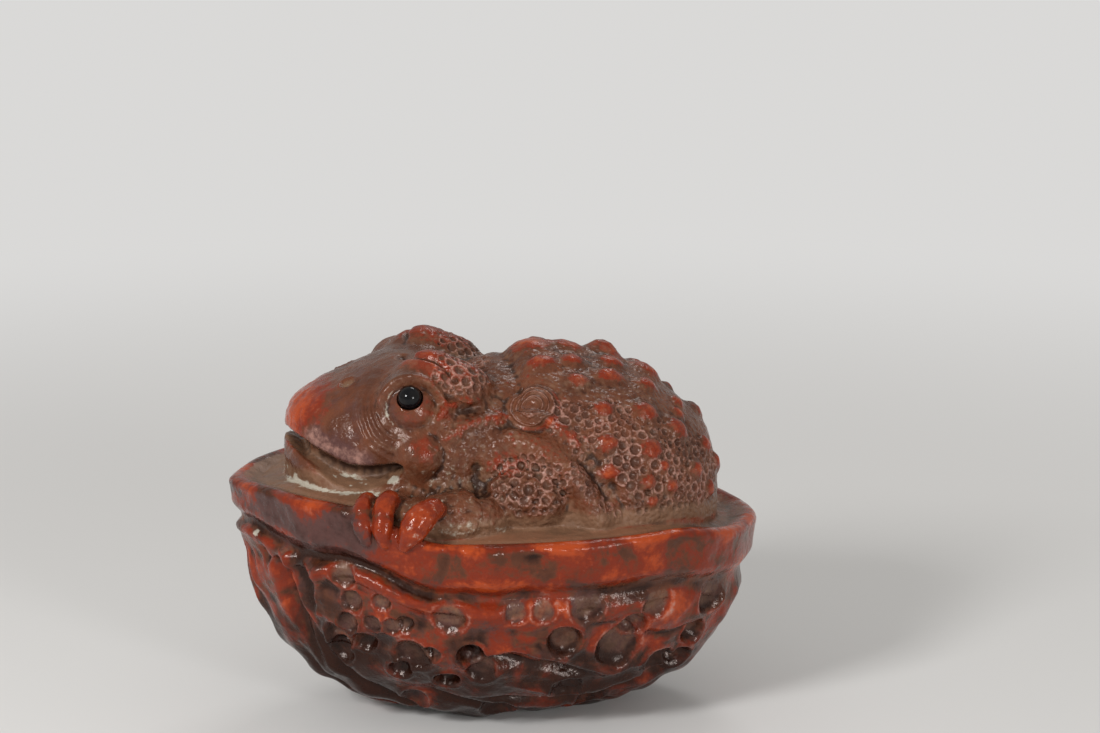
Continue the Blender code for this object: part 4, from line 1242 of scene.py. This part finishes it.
# %% The hollow inside
WALL = 5.0
HEAD_WALL = 7.0  # the head is left thicker, for its mouth and eyes
VENT_RADIUS = 2.5
VENT_BACK = 6.0  # the vent lies this far behind the middle
CAVITY_GRAIN = 2.0
CAVITY_TRIANGLES = 900


def cavity():
    """The hollow that the maker leaves, about one wall inside the plain form."""
    pieces = [shell_blank(WALL), head_blank(HEAD_WALL), torso_blank(WALL)]
    hollow = knead("cavity", pieces, CAVITY_GRAIN, 6)
    thin_out(hollow, CAVITY_TRIANGLES)
    return hollow


print("wall of the shell and of the head:", WALL, "and", HEAD_WALL, "mm")

# %% [markdown]
# ## The whole piece
#
# Now all the lumps are made, kneaded and carved. The fine grain gives about two hundred thousand points,
# which is more than the form needs, so the flat parts are thinned out at the end.

# %% Build the toad in its walnut
SOFT_GRAIN = 1.0  # size of a face in the first kneading
SOFT_PASSES = 9  # rounds of smoothing after it
GRAIN = 0.37  # size of a face in the last kneading
BODY_TRIANGLES = 190000


def toad_and_walnut():
    soft = [head_blank(), torso_blank()]
    for side in (-1, 1):
        soft += head_lumps(side) + arm_lumps(side)
    toad = knead("toad", soft, SOFT_GRAIN, SOFT_PASSES)
    for side in (-1, 1):
        cut(toad, mouth_wedge(side))
    soft = [toad, shell_blank()]
    for side in (-1, 1):
        soft += crisp_lumps(side)
    body = knead("toad_and_walnut", soft, GRAIN, 3)
    find = surface_finder(body)
    points = mesh_points(body)
    push(body, shell_relief(points, find) + band_relief(points) + toad_relief(points, find))
    points = mesh_points(body)
    inside, rim = cups(points, cup_places(find))
    push(body, CUP_DEPTH * (0.35 * rim - inside) + skin_relief(points))
    thin_out(body, BODY_TRIANGLES)
    reach = SHELL_LENGTH
    cut(body, block("floor_cut", (-reach, -reach, -reach), (reach, reach, 0)))
    cut(body, cavity())
    cut(body, peg("vent", (VENT_BACK, 0), VENT_RADIUS, -WALL, 2 * WALL))
    for side in (-1, 1):
        cut(body, ball("socket", bead_centre(side), (BEAD_RADIUS + BEAD_GAP,) * 3, (0, 0, 0), 4))
    body.data.shade_smooth()
    return body, find


body, find = toad_and_walnut()
print("faces of the toad and walnut:", len(body.data.polygons))

# %% [markdown]
# ## Where the surface is high, hollow, dusty or worn
#
# Unglazed clay takes its look from use. High spots are rubbed to a warm red shine, flat skin stays dull and
# brown, and dust and tea lime gather in the hollows. The hollows are also painted darker, as painted shade.
# We measure these on the mesh itself: a point is high where it stands out from the average of its neighbours.
# Painting by hand would be slower, and it would have to be done again after every change of form.

# %% Measure how far each point stands out
def mesh_edges(obj):
    """The mesh's edges as rows of two point numbers."""
    ends = np.empty(len(obj.data.edges) * 2, int)
    obj.data.edges.foreach_get("vertices", ends)
    return ends.reshape(-1, 2)


def average_of_neighbours(values, edges, count):
    """Each point's value as the mean of its neighbours' values."""
    total = np.zeros((count, values.shape[1]))
    for column in range(values.shape[1]):
        total[:, column] += np.bincount(edges[:, 0], values[edges[:, 1], column], count)
        total[:, column] += np.bincount(edges[:, 1], values[edges[:, 0], column], count)
    return total / np.maximum(np.bincount(edges.ravel(), minlength=count), 1)[:, None]


def stand_out(points, edges, normals, rounds):
    """How many millimetres each point stands out from the surface after some rounds of smoothing."""
    smooth = points
    for _ in range(rounds):
        smooth = average_of_neighbours(smooth, edges, len(points))
    return np.sum((points - smooth) * normals, axis=1)


points = mesh_points(body)
edges = mesh_edges(body)
fine_relief = stand_out(points, edges, mesh_normals(body), 6)
broad_relief = stand_out(points, edges, mesh_normals(body), 60)
print("points stand out by up to", round(float(fine_relief.max()), 2), "mm")

# %% High and hollow places, and the cups
normals = mesh_normals(body)
ridge = smooth_step(fine_relief, 0.02, 0.16)
hollow = smooth_step(-fine_relief, 0.03, 0.22)
fine_hollow = smooth_step(-stand_out(points, edges, normals, 2), 0.01, 0.06)
broad_hollow = smooth_step(-broad_relief, 0.2, 1.0)
in_cup, on_rims = cups(points, cup_places(find))
print("cups cover", round(100 * float(in_cup.mean())), "% of the points")

# %% [markdown]
# ## Zones
#
# The walnut's bowl, band, lip and ledge, its pits and wrinkles, and the toad's snout, lips, eyes, ears and
# toes each have their own share of red, dust, darker tone, painted shade and painted highlights. A zone is
# one number for each point, 1 inside and 0 outside, with a soft border. The same sizes that shaped a part
# tell where its zone lies.

# %% Zones of the walnut
depth = rim_top(points[:, 0]) - points[:, 2]
share = depth / band_height(points[:, 0])  # how far down the band
inward = rim_half_width(points[:, 0]) - np.abs(points[:, 1])
fore = smooth_step(-points[:, 0], 16, 30)
toad_side = np.maximum(head_side(points[:, 0], 1.0), torso_side(points[:, 0], 1.0))
beside_toad = np.abs(points[:, 1]) - toad_side
on_toes = near_toes(points)
on_shell = smooth_step(share, -0.04, 0.02) * (1 - on_toes)
on_bowl = on_shell * smooth_step(share, 0.95, 1.3)
on_band = on_shell * (1 - smooth_step(share, 0.95, 1.2))
on_lip = on_shell * (1 - smooth_step(share, 0.05, 0.17))
low = smooth_step(depth, 16, 37)
flat = smooth_step(normals[:, 2], 0.45, 0.8) * (1 - on_toes)
ledge = flat * smooth_step(inward, 1.2, 2.6) * smooth_step(beside_toad, 0.2, 1.6)
ledge *= 1 - smooth_step(-depth, 2.2, 4.5)
ledge *= smooth_step(-depth, -4, -2)
on_toad = (1 - on_shell) * (1 - ledge) * (1 - on_toes)
print("the ledge covers", round(100 * float(ledge.mean())), "% of the points")

# %% Pits and wrinkles of the walnut's bowl
pits, wrinkles = shell_marks(find)
pitted, deep, pit_rim_highlight, creased = (np.zeros(len(points)) for _ in range(4))
for centre, radius, pit_depth in pits:
    outward = np.array(centre) - (0.6 * centre[0], 0, RIM_HEIGHT)
    outward /= np.linalg.norm(outward)
    apart = (points - np.array(centre)) / radius
    along = apart @ outward  # how far in or out, and across how far from the middle of the opening
    across = np.linalg.norm(apart - np.outer(along, outward), axis=1)
    close = np.abs(along) < 2.2
    pitted = np.maximum(pitted, close * (1 - smooth_step(across, 0.75, 1.2)))
    deep = np.maximum(deep, close * (1 - smooth_step(across, 0.3, 0.9)) * smooth_step(pit_depth, 1.15, 1.9))
    # A thin ring round each pit, where a highlight is painted.
    pit_rim_highlight = np.maximum(pit_rim_highlight, close * np.exp(-((across - 1.3) / 0.13) ** 2))
for path, half_width, wrinkle_depth in wrinkles:
    if wrinkle_depth > 0:
        creased = np.maximum(creased, stroke(points, path, half_width, 0.5 * wrinkle_depth, 0.5))
pitted, deep, creased = pitted * on_bowl, deep * on_bowl, np.clip(creased, 0, 1) * on_bowl
print("pits cover", round(100 * float(pitted.mean())), "% of the points")

# %% Mouth and warts
def near(points, centre, radius, core=0.35):
    """1 at the centre, fading to 0 at the radius. The radius may be three numbers."""
    return 1 - smooth_step(np.linalg.norm((points - np.array(centre)) / radius, axis=1), core, 1)


def mouth_at(x):
    """How far above the rim the mouth's middle lies at x, and half its opening there."""
    places, ups, halves = zip(*MOUTH)
    return spline(list(zip(places, ups)))(x), spline(list(zip(places, halves)))(x)


def mouth_gap(points):
    """1 inside the mouth."""
    up, half = mouth_at(points[:, 0])
    within = 1 - smooth_step(np.abs(points[:, 2] - RIM_HEIGHT - up) / half, 0.8, 1.25)
    inwards = head_side(points[:, 0], up) - np.abs(points[:, 1])
    return within * smooth_step(inwards, 0.5, 1.6) * (1 - smooth_step(points[:, 0], -18.5, -17.5))


mouth = mouth_gap(points)
warts = np.zeros(len(points))
for centre, radius in wart_places(find):
    warts = np.maximum(warts, near(points, centre, (1.7 * radius, 1.25 * radius, 1.25 * radius), 0.1))
print("warts cover", round(100 * float(warts.mean())), "% of the points")

# %% Zones of the face
EYE_SPAN = 3.0  # how far the rings round the eye are counted, in its radii
snout, nostril, painted_lip_sheen, brow, cheek_top = (np.zeros(len(points)) for _ in range(5))
eyeball, eye_gap, eye_rings, wrinkled = (np.zeros(len(points)) for _ in range(4))
for side in (-1, 1):
    snout = np.maximum(snout, near(points, on_head(-39.0, 19.0, side), (17, 15, 9.0), 0.2))
    # A stripe along the upper lip, where a painted sheen goes: painted reflection of the lamps.
    edge = [on_head(x, mouth_at(x)[0] + mouth_at(x)[1] + 1.4, side) for x in np.linspace(-38, -23, 10)]
    painted_lip_sheen = np.maximum(painted_lip_sheen, stroke(points, edge, 2.2, 1.0))
    hole = find(on_head(*NOSTRIL, 0), (0, side, 0.3))
    nostril = np.maximum(nostril, near(points, hole, 1.7))
    eye = eye_centre(side)
    brow = np.maximum(brow, near(points, eye + Vector((6.5, -side * 3.5, 7.2)), (11, 8, 5.2), 0.5))
    beside = points[:, 1] * side > 0
    apart = np.linalg.norm(points - np.array(eye), axis=1) / EYE_RADIUS
    eyeball = np.maximum(eyeball, 1 - smooth_step(apart, 0.98, 1.06))
    eye_gap = np.maximum(eye_gap, np.exp(-((apart - 1.06) / 0.06) ** 2) * beside)
    eye_rings = np.maximum(eye_rings, beside * (1 - apart / EYE_SPAN))
    cheek = np.linalg.norm(points - np.array(cheek_centre(side)), axis=1)
    cheek_top = np.maximum(cheek_top, near(points, cheek_centre(side) + Vector((1, side * 2, 2.5)), 4.5))
    lower_left = smooth_step(eye.z + 4 - points[:, 2], 0, 5) * smooth_step(eye.x + 5 - points[:, 0], 0, 6)
    wrinkled = np.maximum(wrinkled, beside * lower_left * smooth_step(cheek, 4, 6.5))
print("the snout's red covers", round(100 * float(snout.mean())), "% of the points")

# %% Zones of the ears and shoulders
EAR_SPAN = 1.4  # how far the rings of the ear are counted, in its radii
ear, ear_edge, shoulder = (np.zeros(len(points)) for _ in range(3))
for side in (-1, 1):
    hub = np.array(back_point(find, EAR_PLACE, EAR_RAISE, side))
    reach = np.linalg.norm(points - hub, axis=1) / EAR_RADIUS
    below = smooth_step(points[:, 0] - hub[0] - (points[:, 2] - hub[2]), -1, 2.5)
    ear = np.maximum(ear, 1 - reach / EAR_SPAN)
    ear_edge = np.maximum(ear_edge, below * np.exp(-((reach - 1.1) / 0.12) ** 2))
    for places, height in SHOULDER_RIDGES:
        if height > 0:
            path = [find(on_torso(x, up, 0), (0, side, 0.1)) for x, up in sampled(places, 12)]
            shoulder = np.maximum(shoulder, stroke(points, path, 2.0, 1.0))
    elbow_crown = find(on_torso(0.4, 9.2, 0), (0, side, 0.1))
    shoulder = np.maximum(shoulder, near(points, elbow_crown, 5.0))
on_ear = smooth_step(ear, 0.2, 0.3)
shoulder *= 1 - on_ear
print("the ears cover", round(100 * float(on_ear.mean()), 1), "% of the points")

# %% [markdown]
# ## Paint
#
# Each colour is mixed from the zones like a recipe: how much of it a zone gets, and what takes it away. The
# sums are kept with the mesh, one number for each point, and the material reads them by name. Image
# textures would do as well, but they need the surface unwrapped, and they blur where it is stretched.

# %% Keep a number for each point
def keep(name, values):
    """Stores one number for each point of the body, from 0 to 1, for its material."""
    attribute = body.data.attributes.new(name, "FLOAT", "POINT")
    attribute.data.foreach_set("value", np.clip(values, 0, 1).astype(np.float32))
    print(name, "covers", round(100 * float(np.mean(values > 0.5))), "% of the points")


keep("shell", on_shell)
keep("cup", in_cup)
keep("ear", ear)  # 1 in the middle of the ear, 0 at its span
keep("eye", eye_rings)
keep("wrinkled", wrinkled * on_toad)

# %% Rubbed red
red = 0.42 * on_bowl + 0.55 * on_band * (1 - 0.8 * fore) + 0.35 * on_lip
red += 0.55 * on_band * (1 - smooth_step(points[:, 0], -48, -45))
# Less red low on the bowl goes with its painted shade.
red -= 0.45 * pitted + 0.4 * creased + 0.2 * low * on_bowl
red += 0.25 * ridge * (1 - on_ear) * (1 - mouth) + 1.05 * warts + 1.15 * snout + 0.62 * brow
red += 0.6 * shoulder + 0.7 * ear_edge + 0.35 * cheek_top + 0.62 * on_toes - 0.5 * painted_lip_sheen + 0.1 * eyeball
red -= 0.5 * in_cup + 0.3 * hollow
keep("red", 0.5 * red)  # the paint runs from 0 to 2, so it is kept at half

# %% Purple of tea, with some painted sheen and shade, and near black painted shade in hollows
# Purple is the tea's tone, but on the upper lip it is part of a painted sheen, and on the lower half of the
# band it is painted shade.
purple = 0.9 * on_band * fore * (1 - on_lip) + 0.8 * painted_lip_sheen + 0.35 * pitted + 0.35 * on_bowl + 0.4 * eyeball
purple += 0.25 * on_toad * fore * (1 - snout) + 0.3 * on_band * smooth_step(share, 0.4, 0.9)
keep("purple", purple)
# 1 where the surface faces down, such as the mouth's roof, which takes painted shade.
ceiling = smooth_step(-normals[:, 2], -0.35, 0.3)
shelf = smooth_step(inward, 1.2, 2.6) * (1 - smooth_step(np.abs(depth), 1.6, 4.0))
# Near black in hollows, creases, deep pits, under the mouth's roof and low on the bowl: painted shade.
dark_and_painted_shade = (0.85 - 0.35 * on_toad) * hollow * (1 - 0.85 * in_cup) * (1 - 0.9 * pitted) * (1 - mouth)
dark_and_painted_shade += (0.35 - 0.12 * on_toad) * broad_hollow * (1 - 0.9 * pitted)
dark_and_painted_shade += 0.3 * fine_hollow * on_toad * (1 - in_cup) + mouth * (0.1 + 0.35 * ceiling)
dark_and_painted_shade += 0.6 * deep + 0.75 * creased + 1.05 * low * on_bowl * (1 - 0.3 * pitted)
# A little darker over the whole bowl and the band's front: darker tone of the clay.
dark_and_painted_shade += 0.2 * on_bowl + 0.3 * on_band * fore
dark_and_painted_shade *= (1 - 0.8 * ledge) * (1 - 0.75 * shelf) * (1 - 0.8 * nostril) * (1 - 0.4 * on_ear)
dark_and_painted_shade *= 1 - 0.5 * eye_gap
keep("dark_and_painted_shade", dark_and_painted_shade)

# %% Dust
dust = 0.9 * ledge + 0.35 * on_toad * broad_hollow + on_toad * (0.2 + 0.12 * (1 - fore))
dust += 0.6 * mouth * (1 - 0.5 * ceiling) + 1.1 * nostril + 0.6 * shelf
dust += 0.52 * pitted * (1 - 0.6 * deep) * (1 - 0.5 * low)
keep("dust", dust)

# %% Pale residue
RESIDUE_SPOTS = (  # place along, across and up, and reach
    ((-24.6, 19.6, 49.4), (2.8, 3.0, 0.9)), ((-45.6, 8.0, 37.5), 1.2), ((-44.5, 9.5, 31.0), 1.0),
    ((-12.0, 29.5, 15.5), 1.5), ((-20.9, 19.8, 52.6), 0.7), ((-6.0, 22.3, 60.0), 0.7),
)
LIP_SPOT = -21.2  # place along of the spot on the lower lip

chin = smooth_step(points[:, 0], -1.5 - NOSE_REACH, 1 - NOSE_REACH) * smooth_step(-points[:, 0], 20, 24)
foot = smooth_step(-fine_relief, 0.045, 0.12) * smooth_step(inward, 2.0, 3.0)
foot *= 1 - smooth_step(beside_toad, 3.0, 4.2)
residue = 0.66 * chin * shelf * foot
arm = (1 - on_shell) * smooth_step(points[:, 0], -24, -18) * (1 - smooth_step(points[:, 0], -4, 6))
residue += 0.22 * arm * (1 - smooth_step(-depth, 10, 22)) + 0.1 * shelf + 0.3 * nostril
residue = np.maximum(residue, 0.6 * eye_gap * smooth_step(eye_centre(1).x - points[:, 0], 1.5, 4))
up, half = mouth_at(LIP_SPOT)
for side in (-1, 1):
    spots = [(Vector((x, side * y, z)), reach) for (x, y, z), reach in RESIDUE_SPOTS]
    for centre, reach in spots + [(on_head(LIP_SPOT, up - half + 0.9, side), (3.2, 3.0, 1.4))]:
        residue = np.maximum(residue, near(points, centre, reach, 0.3))
keep("residue", residue)

# %% Painted highlights on rims, pebbled skin and wet places
# A pale pink on the cups' rims, the upper lip and round the pits: painted highlights.
keep("rim", np.maximum(on_rims, np.maximum(0.7 * painted_lip_sheen, 0.55 * pit_rim_highlight * on_bowl * (1 - pitted))))
bare = (1 - 0.8 * warts) * (1 - smooth_step(ear, 0.1, 0.3))
keep("skin", on_toad * smooth_step(points[:, 0], -17, -10) * bare)
wet = 0.6 * snout + 1.0 * painted_lip_sheen + on_toes + 0.6 * on_band + 0.5 * cheek_top + 0.4 * on_bowl + eyeball
keep("wet", wet)

# %% [markdown]
# ## The clay
#
# One material covers the whole piece, as on the real one. It starts from the dull brown of handled clay.
# Over it come the red of rubbed high spots, the purple grey that tea leaves (with some painted sheen and
# shade), the tan dust of the ledge, the near black of painted shade in hollows, creases and low on the bowl,
# a pale pink for painted highlights on rims and lips, and the pale lime of old tea. Noise breaks up every
# border, because none of them is sharp. One material for each colour would be simpler, but it would show a
# seam between them.

# %% Colours of the clay
PALETTE = {
    "patina": (0.135, 0.042, 0.019),
    "umber": (0.085, 0.027, 0.013),
    "red": (0.175, 0.020, 0.006),
    "orange": (0.350, 0.050, 0.010),
    "purple": (0.080, 0.033, 0.029),
    "dust": (0.195, 0.105, 0.060),
    # near black, for painted shade in hollows and some darker tone
    "dark_and_painted_shade": (0.014, 0.003, 0.001),
    "cup": (0.075, 0.038, 0.028),
    # pale pink, for painted highlights on rims, lips, the ear's rings and specks
    "rim": (0.360, 0.190, 0.150),
    "residue": (0.480, 0.450, 0.370),
}
print("colours of the clay:", ", ".join(PALETTE))

# %% Pebbles of the skin, rings of the ear and folds of the eye
EAR_RING_GAP = 0.23  # from ring to ring, in radii of the ear
EYE_FOLD_GAP = 0.27  # from fold to fold, in radii of the eye


def pebbles(clay):
    """Positive between the pebbles of the toad's skin and negative on them."""
    return clay.math("MULTIPLY", clay.measure("skin"), clay.math("SUBTRACT", clay.cells(1.0), 0.45))


def ear_rings(clay):
    """Thin rings round the middle of the ear."""
    away = clay.math("SUBTRACT", 1.0, clay.measure("ear"))
    rings = clay.rings(away, EAR_SPAN / EAR_RING_GAP)
    rings = clay.math("MULTIPLY", rings, clay.ramp(away, 0.65, 0.85, 1.0, 0.0))
    return clay.math("MULTIPLY", clay.math("POWER", rings, 2.0), clay.ramp(away, 0.15, 0.3))


def eye_folds(clay):
    """Wrinkles of skin round the eyeball, a little wavy."""
    away = clay.math("SUBTRACT", 1.0, clay.measure("eye"))
    away = clay.blend((away, 1.0), (clay.noise(5, 3, 0.6), 0.1))
    folds = clay.math("MULTIPLY", clay.rings(away, EYE_SPAN / EYE_FOLD_GAP), clay.measure("wrinkled"))
    folds = clay.math("MULTIPLY", folds, clay.ramp(away, 0.42, 0.48))
    return clay.math("MULTIPLY", folds, clay.ramp(away, 0.62, 0.8, 1.0, 0.0))


print("rings of the ear:", round(EAR_SPAN / EAR_RING_GAP))

# %% Colour and shine
def clay_paint(clay, speck, pebbled, rings):
    """The clay's colour, layer over layer, and how rough it is."""
    blotch = clay.noise(9, 4, 0.62, 0.4)
    patches = clay.blend((clay.math("MULTIPLY", blotch, clay.measure("shell")), 2.2), (blotch, 1.2))
    colour = clay.mix(clay.ramp(blotch, -0.12, 0.12), PALETTE["umber"], PALETTE["patina"])
    purple = clay.blend((clay.measure("purple"), 1.0), (clay.noise(5, 4, 0.6), 1.6), (speck, 0.6))
    colour = clay.mix(clay.ramp(purple, 0.15, 0.8), colour, PALETTE["purple"])
    red = clay.blend((clay.measure("red"), 2.0), (patches, 1.0), (speck, 0.9), (pebbled, -0.7))
    colour = clay.mix(clay.ramp(red, 0.25, 0.7), colour, PALETTE["red"])
    colour = clay.mix(clay.ramp(red, 0.7, 1.35), colour, PALETTE["orange"])
    dust = clay.blend((clay.measure("dust"), 1.0), (speck, 0.9), (clay.noise(4, 3, 0.6), 0.7), (pebbled, 0.3))
    dust = clay.ramp(dust, 0.2, 0.95)
    colour = clay.mix(clay.math("MULTIPLY", dust, 0.85), colour, PALETTE["dust"])
    colour = clay.mix(clay.math("MULTIPLY", clay.measure("cup"), 0.6), colour, PALETTE["cup"])
    # Pale pink on rims, the ear's rings and specks: painted highlights.
    rim = clay.blend((clay.measure("rim"), 0.9), (rings, 0.5), (speck, 1.4), (blotch, 1.0))
    colour = clay.mix(clay.ramp(rim, 0.25, 1.1), colour, PALETTE["rim"])
    # Near black in hollows and creases: painted shade, with some darker tone.
    dark_and_painted_shade = clay.blend((clay.measure("dark_and_painted_shade"), 1.0), (speck, 0.5), (patches, -0.8))
    colour = clay.mix(clay.ramp(dark_and_painted_shade, 0.15, 1.1, 0.0, 0.93), colour, PALETTE["dark_and_painted_shade"])
    residue = clay.ramp(clay.blend((clay.measure("residue"), 1.0), (speck, 1.6)), 0.35, 0.75)
    colour = clay.mix(clay.math("MULTIPLY", residue, 0.8), colour, PALETTE["residue"])
    rough = clay.ramp(red, 0.0, 1.1, 0.27, 0.23)
    rough = clay.blend((rough, 1.0), (dust, 0.2), (residue, 0.3), (speck, 0.3), (clay.measure("wet"), -0.1))
    return colour, rough


print("layers over the brown:", len(PALETTE) - 2)

# %% Grain
def clay_grain(clay, pebbled, rings):
    """Relief too fine for the mesh: waves of the shell, sand, soft dents, pebbles, rings and folds."""
    grain = clay.bump(clay.math("MULTIPLY", clay.noise(7, 2, 0.5), clay.measure("shell")), 1.1)
    for height, depth in (
        (clay.noise(0.6, 2, 0.6), 0.07), (clay.noise(2.6, 3, 0.6), 0.26), (pebbled, -0.24),
        (rings, 0.26), (eye_folds(clay), 0.24),
    ):
        grain = clay.bump(height, depth, grain)
    return grain


print("depths of the grain are in millimetres, from 0.07 to 1.1")

# %% Mix the clay
SHINE = 0.31
SHINE_TINT = (1.0, 0.86, 0.80)


def clay_material():
    clay = Shading("handled_clay")
    speck, pebbled, rings = clay.noise(1.3, 3, 0.65), pebbles(clay), ear_rings(clay)
    colour, rough = clay_paint(clay, speck, pebbled, rings)
    clay.put(clay.shader.inputs["Base Color"], colour)
    clay.put(clay.shader.inputs["Roughness"], rough)
    clay.shader.inputs["Specular IOR Level"].default_value = SHINE
    clay.put(clay.shader.inputs["Specular Tint"], SHINE_TINT)
    clay.put(clay.shader.inputs["Normal"], clay_grain(clay, pebbled, rings))
    return clay.material


body.data.materials.clear()
body.data.materials.append(clay_material())
print("nodes of the clay's material:", len(body.data.materials[0].node_tree.nodes))

# %% [markdown]
# ## Eye beads
#
# The pupils are two balls of black glass, pushed into the eyeballs while the clay is wet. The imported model
# already has them as plain balls. Rounder ones stand for them here, so that the lamps show as clean spots.

# %% Set the beads
GLASS_DARK, GLASS_LIGHT = (0.003, 0.003, 0.004), (0.007, 0.006, 0.006)


def glass_material():
    glass = Shading("black_glass")
    tone = glass.ramp(glass.noise(2.0, 2, 0.5), -0.1, 0.1)
    glass.put(glass.shader.inputs["Base Color"], glass.mix(tone, GLASS_DARK, GLASS_LIGHT))
    polish = glass.ramp(glass.noise(0.5, 2, 0.5), -0.2, 0.3, 0.03, 0.09)
    glass.put(glass.shader.inputs["Roughness"], polish)
    glass.shader.inputs["Specular IOR Level"].default_value = 0.22
    return glass.material


bead_glass = glass_material()
for node, name, side in (("eye_bead_left", "left_pupil", -1), ("eye_bead_right", "right_pupil", 1)):
    mesh = bmesh.new()
    bmesh.ops.create_uvsphere(mesh, u_segments=64, v_segments=40, radius=BEAD_RADIUS * MM)
    pupil = object_from(name, mesh)
    low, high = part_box(node)
    pupil.location = (low + high) / 2
    pupil.data.materials.append(bead_glass)
    pupil.data.shade_smooth()
    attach(pupil, "root")
    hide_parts(node)
    print(name, "at", [round(v / MM, 1) for v in pupil.location])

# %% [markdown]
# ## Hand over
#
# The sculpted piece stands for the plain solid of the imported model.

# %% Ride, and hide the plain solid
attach(body, "root")
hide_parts("clay_body")
